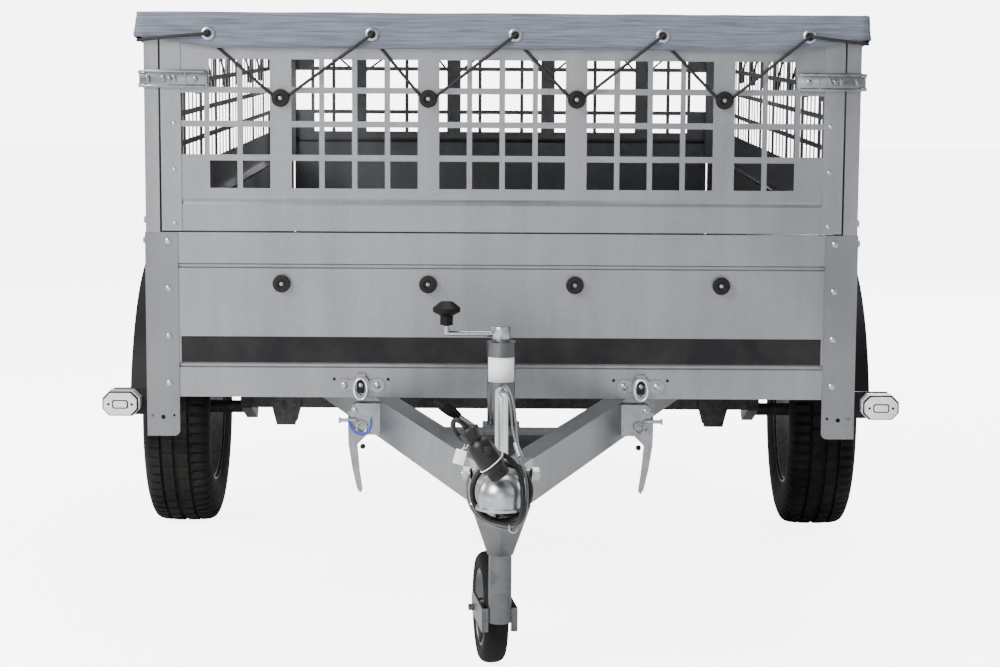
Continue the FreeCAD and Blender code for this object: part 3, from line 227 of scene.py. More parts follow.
def gripped(name, base, axis, start, end):
    """Bright steel rod work that carries a black grip between two distances along an axis."""
    made, tree, principled, place = blank(name)
    bloom = placed_effect(tree, "bloom", place, Flake_Scale=160.0)
    middle = LEANED @ Vector(base)
    line = (LEANED.to_3x3() @ Vector(axis)).normalized()
    away = add(tree, "VectorMath", {0: place, 1: tuple(middle)}, operation="SUBTRACT")
    along = add(tree, "VectorMath", {0: away.outputs["Vector"], 1: tuple(line)},
                operation="DOT_PRODUCT").outputs["Value"]
    after = add(tree, "Math", {0: along, 1: start}, operation="GREATER_THAN")
    before = add(tree, "Math", {0: along, 1: end}, operation="LESS_THAN")
    grip = add(tree, "Math", {0: after.outputs["Value"], 1: before.outputs["Value"]},
               operation="MULTIPLY").outputs["Value"]
    steel = blended(tree, bloom.outputs["Clouds"], tone(138, 140, 142), tone(190, 192, 194))
    black = blended(tree, bloom.outputs["Flakes"], tone(3, 3, 4), tone(7, 7, 8))
    fed(tree, principled, Base_Color=blended(tree, grip, steel, black),
        Metallic=spread(tree, grip, 0.95, 0.0, 0.0, 1.0),
        Roughness=spread(tree, grip, 0.25, 0.48, 0.0, 1.0),
        Specular_IOR_Level=spread(tree, grip, 0.5, 0.18, 0.0, 1.0))
    embossed(tree, principled, bloom.outputs["Tooth"], 0.12, 0.0004)
    return made


def cover_cloth():
    """Coated tarpaulin: fine level creases, with their light and shade painted into the colour, a
    faint weave and a soft sheen.
    """
    made, tree, principled, place = blank("cover_cloth", Specular_IOR_Level=0.45,
                                          Sheen_Weight=0.15)
    drawn = add(tree, "Mapping", {"Vector": place, "Scale": (2.2, 0.45, 70.0)})
    creases = add(tree, "TexNoise", {"Vector": drawn.outputs["Vector"], "Scale": 5.0,
                                     "Detail": 6.0, "Roughness": 0.6})
    weave = add(tree, "TexWave", {"Vector": place, "Scale": 260.0, "Distortion": 0.4},
                bands_direction="DIAGONAL")
    # Painted light and shade: the colour follows the same crease noise as the bumps, darker and
    # lighter along the creases.
    colour = blended(tree, spread(tree, creases.outputs["Fac"], 0.0, 1.0, 0.31, 0.69),
                     tone(66, 72, 84), tone(112, 118, 131))
    fed(tree, principled, Base_Color=dusted(tree, place, colour, 0.3, tone(128, 132, 139)),
        Roughness=spread(tree, creases.outputs["Fac"], 0.45, 0.62))
    both = add(tree, "Mix", {0: 0.12, 2: creases.outputs["Fac"], 3: weave.outputs["Fac"]})
    embossed(tree, principled, both.outputs[0], 0.7, 0.004)
    return made


def film_plywood():
    """Brown film-faced plywood with a pressed mesh pattern."""
    made, tree, principled, place = blank("film_plywood")
    mesh_print = add(tree, "TexVoronoi", {"Vector": place, "Scale": 160.0},
                     distance="CHEBYCHEV")
    grain = placed_effect(tree, "grain", place, Grain_Scale=300.0)
    colour = blended(tree, spread(tree, grain.outputs["Patches"], 0.0, 1.0),
                     tone(16, 14, 13), tone(30, 25, 22))
    fed(tree, principled, Base_Color=colour,
        Roughness=spread(tree, grain.outputs["Patches"], 0.5, 0.7))
    embossed(tree, principled, mesh_print.outputs["Distance"], 0.4, 0.0006)
    return made


def braided_cord():
    """Black elastic cord with a braided cover."""
    made, tree, principled, place = blank("braided_cord")
    braid = add(tree, "TexWave", {"Vector": place, "Scale": 190.0, "Distortion": 1.5},
                bands_direction="DIAGONAL")
    patches = placed_effect(tree, "grain", place, Grain_Scale=600.0)
    colour = blended(tree, braid.outputs["Fac"], tone(4, 4, 5), tone(18, 18, 19))
    fed(tree, principled, Base_Color=colour,
        Roughness=spread(tree, patches.outputs["Patches"], 0.6, 0.8))
    embossed(tree, principled, braid.outputs["Fac"], 0.5, 0.0006)
    return made


FINISH = {
    "sheet": zinc("zinc_sheet", tone(116, 118, 121), tone(136, 138, 141), 0.72, 0.36, 320.0, 0.1,
                  0.8, 0.06),
    "frame": zinc("frame_zinc", tone(96, 99, 102), tone(124, 127, 130), 0.78, 0.34, 200.0, 0.1, 0.7,
                  0.08),
    "corner": zinc("corner_zinc", tone(102, 104, 107), tone(120, 122, 125), 0.72, 0.38, 320.0,
                   0.1, 0.8, 0.06),
    # Painted shade: a darker copy of the frame's zinc for the jack's gusset, which sits in shade
    # below the drawbar.
    "brace": zinc("brace_zinc_painted_shade", tone(76, 78, 80), tone(98, 100, 102), 0.75, 0.4, 200.0, 0.15,
                  0.7, 0.08),
    # Painted shade: a dark copy of the zinc for the parts under the box, darker because they sit in
    # shadow under the trailer.
    "under": zinc("under_zinc_painted_shade", tone(30, 31, 32), tone(58, 59, 61), 0.5, 0.5, 120.0, 0.2, 0.6,
                  Specular_IOR_Level=0.2),
    "bright": zinc("bright_zinc", tone(138, 140, 143), tone(176, 178, 181), 0.9, 0.3, 60.0, 0.1,
                   0.6, 0.05),
    "fitting": zinc("fitting_zinc", tone(108, 110, 113), tone(146, 148, 151), 0.88, 0.27, 70.0,
                    0.12, 0.7, 0.05),
    # Painted shade: a darker copy of the zinc for the jack's tubes, fork and the jockey wheel's
    # rim.
    "tube": zinc("tube_zinc_painted_shade", tone(70, 72, 74), tone(110, 112, 114), 0.92, 0.27, 60.0, 0.1, 0.8,
                 0.05),
    "chrome": zinc("polished_chrome", tone(214, 216, 219), tone(240, 241, 243), 0.6, 0.16, 60.0,
                   0.02, 0.8, 0.03),
    "rim": zinc("rim_silver", tone(112, 114, 117), tone(150, 152, 155), 0.6, 0.4, 200.0, 0.5),
    "knobbed": gripped("crank_steel", (-0.094, -0.280, 0.6735), (0, 0, 1), 0.0, 0.1),
    "handled": gripped("clamp_steel", (-0.032, -0.290, 0.490), (-0.086, 0, 0.060), 0.0475, 0.2),
    "plastic": moulded("black_plastic", tone(5, 5, 6), tone(12, 12, 13), 0.5, dust=0.04,
                       Specular_IOR_Level=0.25),
    "fender": moulded("fender_plastic", tone(4, 4, 5), tone(9, 9, 10), 0.55, 500.0, 0.04,
                      Specular_IOR_Level=0.2),
    "rubber": moulded("tyre_rubber", tone(3, 3, 3), tone(8, 8, 8), 0.75, 700.0, 0.06,
                      Specular_IOR_Level=0.18),
    "cable": moulded("cable_cover", tone(5, 5, 6), tone(12, 12, 13), 0.45, 800.0, 0.02,
                     Specular_IOR_Level=0.3),
    "wire": zinc("wire_rope", tone(72, 75, 77), tone(112, 115, 117), 0.6, 0.42, 900.0, 0.1),
    "stripe": moulded("stripe_film", tone(20, 20, 22), tone(28, 28, 30), 0.5, 300.0, 0.06,
                      Specular_IOR_Level=0.15),
    "lens": moulded("clear_lens", tone(186, 188, 191), tone(216, 217, 219), 0.16, 120.0, 0.05,
                    0.0006, Coat_Weight=0.6),
    "red": moulded("red_lens", tone(120, 8, 10), tone(158, 14, 13), 0.18, 220.0, 0.1, 0.0008,
                   Coat_Weight=0.6),
    "amber": moulded("amber_lens", tone(186, 92, 8), tone(206, 112, 16), 0.18, 220.0, 0.1,
                     0.0008, Coat_Weight=0.6),
    "paper": moulded("blank_label", tone(226, 228, 229), tone(240, 241, 242), 0.5, 300.0, 0.05),
    "blue": moulded("blue_tie", tone(6, 48, 160), tone(14, 68, 190), 0.38, 500.0, 0.05),
    "cloth": cover_cloth(),
    "plywood": film_plywood(),
    "cord": braided_cord(),
}


# Modelling helpers

def rod(shape, start, end, radius, tip=None, sides=20):
    """A round or tapered rod between two points."""
    start, end = Vector(start), Vector(end)
    turn = (end - start).to_track_quat("Z", "Y").to_matrix().to_4x4()
    bmesh.ops.create_cone(shape, cap_ends=True, segments=sides, radius1=radius,
                          radius2=radius if tip is None else tip, depth=(end - start).length,
                          matrix=Matrix.Translation((start + end) / 2) @ turn)


def slab(shape, corner, opposite, soft=0.0):
    """A block between two opposite corners, with softened edges."""
    low = Vector([min(pair) for pair in zip(corner, opposite)])
    high = Vector([max(pair) for pair in zip(corner, opposite)])
    span = Matrix.Diagonal((*(high - low), 1.0))
    made = bmesh.ops.create_cube(shape, size=1.0,
                                 matrix=Matrix.Translation((low + high) / 2) @ span)
    if soft:
        edges = list({edge for vertex in made["verts"] for edge in vertex.link_edges})
        soften(shape, edges, soft)


def soften(shape, edges, offset):
    bmesh.ops.bevel(shape, geom=edges, offset=offset, offset_type="OFFSET", segments=2,
                    profile=0.5, affect="EDGES", material=-1, clamp_overlap=True)


def placed(shape, part, place):
    """Adds a closed part to a shape, moved to its place."""
    bmesh.ops.remove_doubles(part, verts=part.verts, dist=1e-6)
    bmesh.ops.recalc_face_normals(part, faces=part.faces)
    part.transform(place)
    joined(shape, part)


def joined(shape, part):
    """Adds a part to a shape as it is."""
    carrier = bpy.data.meshes.new("carrier")
    part.to_mesh(carrier)
    part.free()
    shape.from_mesh(carrier)
    bpy.data.meshes.remove(carrier)


def facing(centre, axis):
    """Turns local Z to an axis, and moves the origin to centre."""
    turn = Vector(axis).to_track_quat("Z", "Y").to_matrix().to_4x4()
    return Matrix.Translation(Vector(centre)) @ turn


def lathed(shape, section, centre, axis, steps=32):
    """Spins a section of (distance along the axis, radius) pairs."""
    part = bmesh.new()
    points = [part.verts.new((radius, 0, along)) for along, radius in section]
    edges = [part.edges.new(pair) for pair in zip(points, points[1:])]
    bmesh.ops.spin(part, geom=points + edges, cent=(0, 0, 0), axis=(0, 0, 1),
                   angle=math.tau, steps=steps, use_merge=True)
    placed(shape, part, facing(centre, axis))


def hoop(shape, centre, axis, radius, wire, steps=36, sides=10, tall=1.0):
    """A ring of round wire, or an oval one where tall isn't 1."""
    part = bmesh.new()
    made = bmesh.ops.create_circle(part, segments=sides, radius=wire, matrix=upright(radius, 0, 0))
    edges = list({edge for vertex in made["verts"] for edge in vertex.link_edges})
    bmesh.ops.spin(part, geom=made["verts"] + edges, cent=(0, 0, 0), axis=(0, 0, 1),
                   angle=math.tau, steps=steps, use_merge=True)
    bmesh.ops.scale(part, vec=(1, tall, 1), verts=part.verts)
    placed(shape, part, facing(centre, axis))


def plate(shape, outline, depth, place, soft=0.0):
    """A flat plate from its outline, as thick as depth along local Z."""
    part = bmesh.new()
    face = part.faces.new([part.verts.new((across, up, 0)) for across, up in outline])
    grown = bmesh.ops.extrude_face_region(part, geom=[face])
    moved = [item for item in grown["geom"] if isinstance(item, bmesh.types.BMVert)]
    bmesh.ops.translate(part, vec=(0, 0, depth), verts=moved)
    if soft:
        soften(part, list(part.edges), soft)
    placed(shape, part, place)


def upright(x, y, z):
    """Place of a shape drawn as (across, up), seen from the front, growing towards the viewer."""
    return Matrix.Translation((x, y, z)) @ Matrix.Rotation(math.pi / 2, 4, "X")


def bolt(shape, centre, axis, head=0.0065, tall=0.005, washer=0.009):
    """Hexagon head on a washer."""
    centre, axis = Vector(centre), Vector(axis).normalized()
    rod(shape, centre, centre + axis * 0.0015, washer)
    part = bmesh.new()
    bmesh.ops.create_cone(part, cap_ends=True, segments=6, radius1=head, radius2=head,
                          depth=tall)
    top = [edge for edge in part.edges if all(v.co.z > 0 for v in edge.verts)]
    soften(part, top, head * 0.12)
    placed(shape, part, facing(centre + axis * (0.0015 + tall / 2), axis))


def domed(shape, centre, axis, radius, tall):
    """Round rivet or coach bolt head."""
    section = [(0, radius), (tall * 0.35, radius * 0.97), (tall * 0.75, radius * 0.72),
               (tall, radius * 0.3), (tall, 0.0)]
    lathed(shape, section, centre, axis, 16)


def finished(shape, name, body, finish, smooth=38, thick=0.0):
    """Leans a shape as parked, and gives it its body and material."""
    shape.transform(LEANED)
    mesh = bpy.data.meshes.new(name)
    shape.to_mesh(mesh)
    shape.free()
    mesh.polygons.foreach_set("use_smooth", [True] * len(mesh.polygons))
    mesh.set_sharp_from_angle(angle=math.radians(smooth))
    piece = bpy.data.objects.new(name, mesh)
    bpy.context.scene.collection.objects.link(piece)
    mesh.materials.append(FINISH[finish])
    if thick:
        wall = piece.modifiers.new("wall", "SOLIDIFY")
        wall.thickness = thick
        wall.offset = 0
    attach(piece, body)
    return piece


def strung(name, points, radius, body, finish, tight=True, closed=False):
    """A wire or cord through points, as a curve with a round section."""
    curve = bpy.data.curves.new(name, "CURVE")
    curve.dimensions = "3D"
    curve.bevel_depth = radius
    curve.bevel_resolution = 3
    curve.resolution_u = 10
    curve.use_fill_caps = True
    line = curve.splines.new("POLY" if tight else "NURBS")
    line.points.add(len(points) - 1)
    for point, place in zip(line.points, points):
        point.co = (*place, 1)
    line.use_cyclic_u = closed
    if not tight:
        line.order_u = 3
        line.use_endpoint_u = not closed
    curve.transform(LEANED)
    curve.materials.append(FINISH[finish])
    piece = bpy.data.objects.new(name, curve)
    bpy.context.scene.collection.objects.link(piece)
    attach(piece, body)
    return piece


# Camera, light and floor

def camera():
    """Stands in front of the trailer, tilted down towards the drawbar."""
    data = bpy.data.cameras.new("camera")
    data.sensor_width = 36
    data.lens = 36 * 2.31825
    tilt = math.radians(7.44)
    roll = math.radians(0.33)
    aside = math.radians(0.08)
    view = Matrix.Rotation(-aside, 4, "Z") @ Matrix.Rotation(math.pi / 2 - tilt, 4, "X")
    place = Matrix.Translation((-0.0080, -4.2118, 1.174)) @ view @ Matrix.Rotation(roll, 4, "Z")
    viewer = bpy.data.objects.new("camera", data)
    bpy.context.scene.collection.objects.link(viewer)
    viewer.matrix_world = LEANED @ place
    bpy.context.scene.camera = viewer


def soft_light(name, place, target, power, width, height):
    data = bpy.data.lights.new(name, "AREA")
    data.shape = "RECTANGLE"
    data.size = width
    data.size_y = height
    data.energy = power
    lamp = bpy.data.objects.new(name, data)
    bpy.context.scene.collection.objects.link(lamp)
    lamp.location = place
    lamp.rotation_euler = (Vector(target) - Vector(place)).to_track_quat("-Z", "Y").to_euler()


def studio():
    """Wide pale floor that meets an equally pale surround, and soft lights."""
    shape = bmesh.new()
    bmesh.ops.create_grid(shape, x_segments=2, y_segments=2, size=60.0)
    mesh = bpy.data.meshes.new("floor")
    shape.to_mesh(mesh)
    shape.free()
    floor = bpy.data.objects.new("floor", mesh)
    bpy.context.scene.collection.objects.link(floor)
    paint, tree, principled, place = blank("floor_paint", Roughness=0.85,
                                           Emission_Color=(1.0, 1.0, 1.0, 1.0))
    seen = add(tree, "LightPath").outputs["Is Camera Ray"]
    patches = add(tree, "TexNoise", {"Vector": place, "Scale": 0.6, "Detail": 3.0})
    fed(tree, principled, Emission_Strength=spread(tree, seen, 0.05, 5.5, 0.0, 1.0),
        Base_Color=blended(tree, patches.outputs["Fac"], tone(236, 237, 238),
                           tone(242, 243, 244)))
    mesh.materials.append(paint)
    world = bpy.data.worlds.new("studio")
    world.use_nodes = True
    tree = world.node_tree
    surround = tree.nodes["Background"]
    surround.inputs["Color"].default_value = (0.97, 0.98, 1.0, 1.0)
    seen = add(tree, "LightPath").outputs["Is Camera Ray"]
    tree.links.new(spread(tree, seen, 0.42, 6.8, 0.0, 1.0), surround.inputs["Strength"])
    bpy.context.scene.world = world
    soft_light("key", (-3.4, -4.4, 3.4), (0, 0, 0.7), 560, 2.4, 2.2)
    soft_light("fill", (3.4, -3.6, 2.2), (0, 0, 0.6), 26, 2.4, 2.4)
    soft_light("top", (0, 0.5, 5.2), (0, 0.4, 0), 230, 4.0, 4.0)
    soft_light("rear", (2.6, 7.4, 3.6), (0, 1.0, 0.5), 420, 3.0, 2.4)
    soft_light("left", (-6.5, 2.6, 2.6), (0, 0.4, 0.5), 240, 3.0, 2.0)
    soft_light("right", (6.5, 4.2, 2.6), (0, 0.6, 0.5), 120, 3.0, 2.0)
    soft_light("low", (-0.6, -5.2, 0.8), (0, -0.6, 0.5), 26, 2.4, 1.0)


camera()


# Coupling's cable, plug and safety wire

PLUG_END = Vector((-0.0520, -0.841, 0.5938))
PLUG_LINE = Vector((0.57, 0.05, -0.82)).normalized()
CABLE = 0.004


def ring_turns():
    """Control points of the two turns that hang round the coupling's neck."""
    points = []
    for step in range(3, 25):
        angle = math.radians(-90 + 30 * step)
        radius = 0.0458 + 0.0006 * math.sin(step * 1.7)
        points.append((0.0003 + radius * math.cos(angle), -0.7640 - 0.0190 * step / 24,
                       0.4842 + radius * math.sin(angle)))
    return points


def trailer_cable(extras):
    """Black cable from the drawbar's nose, twice round the neck and up into the plug."""
    points = [(0.0, -0.7380, 0.4485), (0.0, -0.7500, 0.4483), (0.0035, -0.7620, 0.4470),
              (0.0170, -0.7655, 0.4455), (0.0330, -0.7650, 0.4530), (0.0425, -0.7655, 0.4680)]
    points += ring_turns()
    points += [(0.0150, -0.7960, 0.4395), (0.0275, -0.8200, 0.4475), (0.0320, -0.8325, 0.4640),
               (0.0325, -0.8310, 0.4860), (0.0318, -0.8250, 0.5040), (0.0265, -0.8190, 0.5250),
               (0.0150, -0.8150, 0.5410), (0.0000, -0.8150, 0.5500), (-0.0180, -0.8130, 0.5530),
               (-0.0380, -0.8090, 0.5580), (-0.0580, -0.8060, 0.5690), (-0.0700, -0.8140, 0.5840),
               (-0.0735, -0.8310, 0.5990), (-0.0650, -0.8420, 0.6080), tuple(PLUG_END)]
    piece = strung("trailer_cable", points, CABLE, "drawbar", "cable", False)


def along_plug(distance, aside=0.0):
    return PLUG_END + PLUG_LINE * distance + Vector((0.82, 0, 0.57)) * aside


def plug():
    """Round plug: hexagon gland nut, shouldered body, cap, and a white tie with its tail."""
    shape = bmesh.new()
    part = bmesh.new()
    bmesh.ops.create_cone(part, cap_ends=True, segments=6, radius1=0.0163, radius2=0.0163,
                          depth=0.0170)
    soften(part, list(part.edges), 0.0008)
    placed(shape, part, facing(along_plug(0.0125), PLUG_LINE))
    section = [(0.0, 0.0046), (0.0005, 0.0085), (0.0040, 0.0118), (0.0042, 0.0)]
    lathed(shape, section, PLUG_END, PLUG_LINE, 32)
    body = [(0.0205, 0.0), (0.0205, 0.0118), (0.0230, 0.0120), (0.0250, 0.0135),
            (0.0285, 0.0172), (0.0330, 0.0188), (0.0385, 0.0192), (0.0700, 0.0197),
            (0.0715, 0.0192), (0.0718, 0.0168), (0.0745, 0.0158), (0.0760, 0.0152),
            (0.0890, 0.0149), (0.0905, 0.0141), (0.0908, 0.0118), (0.0880, 0.0114), (0.0878, 0.0)]
    lathed(shape, body, PLUG_END, PLUG_LINE, 48)
    for turn in range(24):
        angle = turn * math.pi / 12
        out = (Vector((0.82, 0, 0.57)).normalized() * math.cos(angle)
               + Vector((0, 1, 0)) * math.sin(angle))
        start = along_plug(0.0775) + out * 0.0150
        rod(shape, start, start + PLUG_LINE * 0.0105, 0.0009, sides=6)
    lug = along_plug(0.0440) - Vector((0, 0.0190, 0)) + Vector((0.0060, 0, 0.0042))
    slab(shape, lug - Vector((0.0050, 0.0018, 0.0060)), lug + Vector((0.0050, 0.0030, 0.0060)),
         0.0012)
    made = finished(shape, "plug", "drawbar", "cable", 32)
    tie = bmesh.new()
    hoop(tie, along_plug(0.0655), PLUG_LINE + Vector((0.05, 0.0, 0.06)), 0.0202, 0.0008, 48, 8)
    tail = along_plug(0.0640, 0.0205)
    slab(tie, tail + Vector((-0.0010, -0.0010, -0.0130)), tail + Vector((0.0010, 0.0008, 0.0050)),
         0.0003)
    band = finished(tie, "plug_tie", "drawbar", "paper")
    return [made, band]


def cable_gland():
    """Tapered rubber relief where the cable leaves the drawbar's nose."""
    shape = bmesh.new()
    lathed(shape, [(0.0, 0.0), (0.0, 0.0092), (0.0022, 0.0092), (0.0030, 0.0070), (0.0110, 0.0052),
                   (0.0112, 0.0046), (0.0090, 0.0042)], (0.0, -0.7380, 0.4485), (0, -1, 0), 28)
    return finished(shape, "cable_gland", "drawbar", "cable")


def safety_wire():
    """Steel safety wire from the handle, past its ferrule, under the ring to the neck's bolt."""
    points = [(0.0000, -0.6590, 0.6215), (0.0030, -0.6640, 0.6290), (0.0110, -0.6720, 0.6280),
              (0.0190, -0.6860, 0.6080), (0.0222, -0.7150, 0.5800), (0.0238, -0.7500, 0.5590),
              (0.0268, -0.7760, 0.5430), (0.0325, -0.7990, 0.5270), (0.0388, -0.8200, 0.5050),
              (0.0392, -0.8270, 0.4820), (0.0370, -0.8280, 0.4600), (0.0285, -0.8150, 0.4400),
              (0.0160, -0.7960, 0.4300), (0.0000, -0.7800, 0.4290), (-0.0190, -0.7680, 0.4320),
              (-0.0370, -0.7620, 0.4430), (-0.0500, -0.7560, 0.4620), (-0.0535, -0.7380, 0.4800),
              (-0.0515, -0.7050, 0.4880), (-0.0490, -0.6700, 0.4900)]
    piece = strung("safety_wire", points, 0.0019, "drawbar", "wire", False)
    shape = bmesh.new()
    rod(shape, (0.0216, -0.7640, 0.5570), (0.0285, -0.7800, 0.5385), 0.0040, 0.0043, 16)
    hoop(shape, (0.0182, -0.7975, 0.4345), (0.2, -1, 0.1), 0.0062, 0.0016, 24, 8, 1.2)
    hoop(shape, (0.0, -0.6572, 0.6160), (0.9, -0.45, 0), 0.0052, 0.0012, 24, 8)
    hoop(shape, (-0.0492, -0.6640, 0.4900), (-1, 0, 0), 0.0062, 0.0016, 24, 8)
    ferrule = finished(shape, "wire_fittings", "drawbar", "bright")
    back = [(0.0030, -0.6600, 0.6215), (0.0100, -0.6700, 0.6190), (0.0148, -0.6850, 0.6020),
            (0.0160, -0.7150, 0.5790), (0.0180, -0.7400, 0.5680), (0.0215, -0.7630, 0.5580)]
    loop = strung("safety_wire_loop", back, 0.0017, "drawbar", "wire", False)


def handle_web():
    """Pressed bright web that closes the coupling handle's slot, with its rib."""
    shape = bmesh.new()
    foot, head = Vector((0, -0.7385, 0.5190)), Vector((0, -0.6540, 0.6170))
    rise = (head - foot).normalized()
    tilt = Matrix.Translation(foot) @ Matrix.Rotation(math.atan2(rise.z, rise.y), 4, "X")
    part = bmesh.new()
    slab(part, (-0.0088, 0.0, -0.0012), (0.0088, (head - foot).length, 0.0012), 0.0004)
    slab(part, (-0.0018, 0.006, 0.0008), (0.0018, (head - foot).length - 0.006, 0.0026), 0.0007)
    placed(shape, part, tilt)
    finished(shape, "handle_web", "drawbar", "chrome")


def blank_tag():
    """Blank card tag that hangs from the cable behind the plug."""
    shape = bmesh.new()
    part = bmesh.new()
    slab(part, (-0.0083, -0.0004, -0.0225), (0.0083, 0.0004, 0.0), 0.0002)
    placed(shape, part, Matrix.Translation((-0.0590, -0.8125, 0.5550))
           @ Matrix.Rotation(math.radians(16), 4, "Y"))
    hoop(shape, (-0.0520, -0.8085, 0.5625), (0.8, 0.3, -0.5), 0.0066, 0.0005, 24, 6)
    rod(shape, (-0.0590, -0.8125, 0.5540), (-0.0555, -0.8125, 0.5600), 0.0006, sides=6)
    return finished(shape, "blank_tag", "drawbar", "paper")


def saddle_bolts():
    """Nuts and bolt ends that stand out on both sides of the neck."""
    shape = bmesh.new()
    for side in (-1, 1):
        bolt(shape, (side * 0.0480, -0.660, 0.4900), (side, 0, 0), 0.0108, 0.0105, 0.0125)
        rod(shape, (side * 0.0590, -0.660, 0.4900), (side * 0.0625, -0.660, 0.4900), 0.0058,
            0.0050, 16)
    finished(shape, "saddle_bolts", "drawbar", "bright", 30)


def crossbar_painted_shade():
    """Dark plate over the crossbar's front face: painted shade for the shaded inside of the
    crossbar, which is open to the front.
    """
    shape = bmesh.new()
    slab(shape, (-0.1010, -0.3616, 0.4360), (0.1010, -0.3608, 0.4985), 0.0003)
    finished(shape, "crossbar_painted_shade", "drawbar", "under")


trailer_cable(plug() + [cable_gland(), blank_tag()])
safety_wire()
handle_web()
saddle_bolts()
crossbar_painted_shade()
studio()


# Tarpaulin and its lacing

def skirt_drop(x, y):
    """How far the skirt hangs at a place on the rim: less near the corners."""
    from_end = min(y - COVER_FRONT, BOX_LENGTH - COVER_FRONT - y, key=abs)
    from_corner = min(COVER_HALF + 0.0015 - abs(x) + abs(from_end), 0.14)
    return SKIRT - 0.021 + 0.021 * min(1.0, from_corner / 0.14)


def eyelet_pull(x):
    """Soft folds that run up from each eyelet to the skirt's top edge."""
    near = min(EYELET_PLACES, key=lambda place: abs(place - x))
    away = (x - near) / 0.035
    return math.exp(-away * away)


def tarpaulin():
    """One sheet over the extension frame, with a skirt all round."""
    half, front, rear, top = COVER_HALF, COVER_FRONT, BOX_LENGTH - COVER_FRONT, COVER_TOP
    shape = bmesh.new()
    span = Matrix.Translation((0, (front + rear) / 2, top)) @ Matrix.Diagonal(
        (half, (rear - front) / 2, 1, 1))
    bmesh.ops.create_grid(shape, x_segments=96, y_segments=150, size=1, matrix=span)
    for step in range(6):
        rim = [edge for edge in shape.edges if edge.is_boundary]
        grown = bmesh.ops.extrude_edge_only(shape, edges=rim)
        moved = [item for item in grown["geom"] if isinstance(item, bmesh.types.BMVert)]
        for vertex in moved:
            vertex.co.z = top - skirt_drop(vertex.co.x, vertex.co.y) * (step + 1) / 6
    bmesh.ops.recalc_face_normals(shape, faces=shape.faces)
    for vertex in shape.verts:
        place = vertex.co.copy()
        inner = min(half - abs(place.x), place.y - front, rear - place.y)
        hung = (top - place.z) / SKIRT
        if inner > 0.004:
            sag = min(1.0, inner / 0.25)
            ripple = noise.noise(Vector((place.x * 3.0, place.y * 2.2, 0.3)))
            vertex.co.z += -0.004 * sag + 0.0035 * ripple * sag
            fine = noise.noise(Vector((place.x * 14.0, place.y * 5.0, 1.7)))
            vertex.co.z += 0.0012 * fine
            continue
        along = place.x if abs(place.y - (front + rear) / 2) > 1.2 else place.y
        fold = noise.noise(Vector((along * 9.0, hung * 1.3, 4.1)))
        crease = noise.noise(Vector((along * 2.2, hung * 5.0, 8.6)))
        from_end = min(abs(place.y - front), abs(place.y - rear))
        corner = math.exp(-((from_end + half - abs(place.x)) / 0.07) ** 2) * hung
        out = 0.0022 * fold * hung + 0.0016 * crease
        if abs(place.y - front) < 0.002:
            out += 0.0035 * eyelet_pull(place.x) * (1 - hung * 0.6)
            vertex.co.y -= min(out, 0.004)
        elif abs(place.y - rear) < 0.002:
            vertex.co.y += min(out, 0.004)
        if abs(abs(place.x) - half) < 0.002:
            vertex.co.x += math.copysign(min(out, 0.004) + 0.0085 * corner, place.x)
        if hung < 0.01:
            wave = noise.noise(Vector((along * 5.0, 2.2, 0.9)))
            vertex.co.z += 0.0018 * wave
    piece = finished(shape, "cover", "box", "cloth", 180, thick=0.0012)
    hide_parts("tarpaulin")


def eyelet(shape, centre, axis):
    """Pressed ring eyelet with its open middle."""
    section = [(-0.001, 0.0068), (0.0012, 0.0062), (0.0026, 0.0078), (0.0026, 0.0102),
               (0.0012, 0.0122), (-0.0004, 0.0126), (-0.001, 0.0068)]
    lathed(shape, section, centre, axis, 24)


def eyelets():
    shape = bmesh.new()
    hole = bmesh.new()
    spots = []
    for x in EYELET_PLACES:
        spots.append(((x, -0.0130, EYELET_LEVEL), (0, -1, 0)))
        spots.append(((x, BOX_LENGTH + 0.0130, EYELET_LEVEL), (0, 1, 0)))
    for side in (-1, 1):
        for y in SIDE_EYELETS:
            spots.append(((side * 0.6610, y, EYELET_LEVEL), (side, 0, 0)))
    for centre, axis in spots:
        eyelet(shape, centre, axis)
        rod(hole, Vector(centre) - Vector(axis) * 0.002, Vector(centre) + Vector(axis) * 0.0008,
            0.0066, sides=18)
    finished(shape, "eyelets", "box", "bright")
    finished(hole, "eyelet_shadows", "box", "plastic")


def button(shape, rivet, centre, axis):
    """Lacing button: a flanged black disc with a grooved neck and a light rivet."""
    section = [(0, 0.0105), (0.004, 0.0095), (0.007, 0.0115), (0.0085, 0.0158),
               (0.0115, 0.0162), (0.0138, 0.0150), (0.0142, 0.0085), (0.0122, 0.0065),
               (0.0118, 0.0)]
    lathed(shape, section, centre, axis, 28)
    centre = Vector(centre) + Vector(axis) * 0.0118
    lathed(rivet, [(0, 0.0036), (0.0012, 0.0032), (0.0016, 0.0018), (0.0008, 0.0013),
                   (0.0008, 0.0)], centre, axis, 16)


def buttons():
    shape = bmesh.new()
    rivet = bmesh.new()
    for x in BUTTON_PLACES:
        button(shape, rivet, (x, 0, UPPER_BUTTONS), (0, -1, 0))
        button(shape, rivet, (x, 0, LOWER_BUTTONS), (0, -1, 0))
        button(shape, rivet, (x, BOX_LENGTH, UPPER_BUTTONS), (0, 1, 0))
    for side in (-1, 1):
        for y in SIDE_BUTTONS:
            button(shape, rivet, (side * POST_HALF, y, UPPER_BUTTONS), (side, 0, 0))
            button(shape, rivet, (side * BOX_HALF, y, LOWER_BUTTONS), (side, 0, 0))
    finished(shape, "lacing_buttons", "box", "plastic")
    finished(rivet, "button_rivets", "box", "bright")


def round_button(at, along):
    """Points of the cord that runs under an upper button."""
    loop = ((-0.0135, 0.0065, 0.0040), (-0.0090, 0.0060, -0.0105), (0.0, 0.0060, -0.0140),
            (0.0090, 0.0060, -0.0105), (0.0135, 0.0065, 0.0040))
    return [at(along + aside, out, UPPER_BUTTONS + rise) for aside, out, rise in loop]


def elastic(name, points):
    strung(name, points, 0.003, "box", "cord")


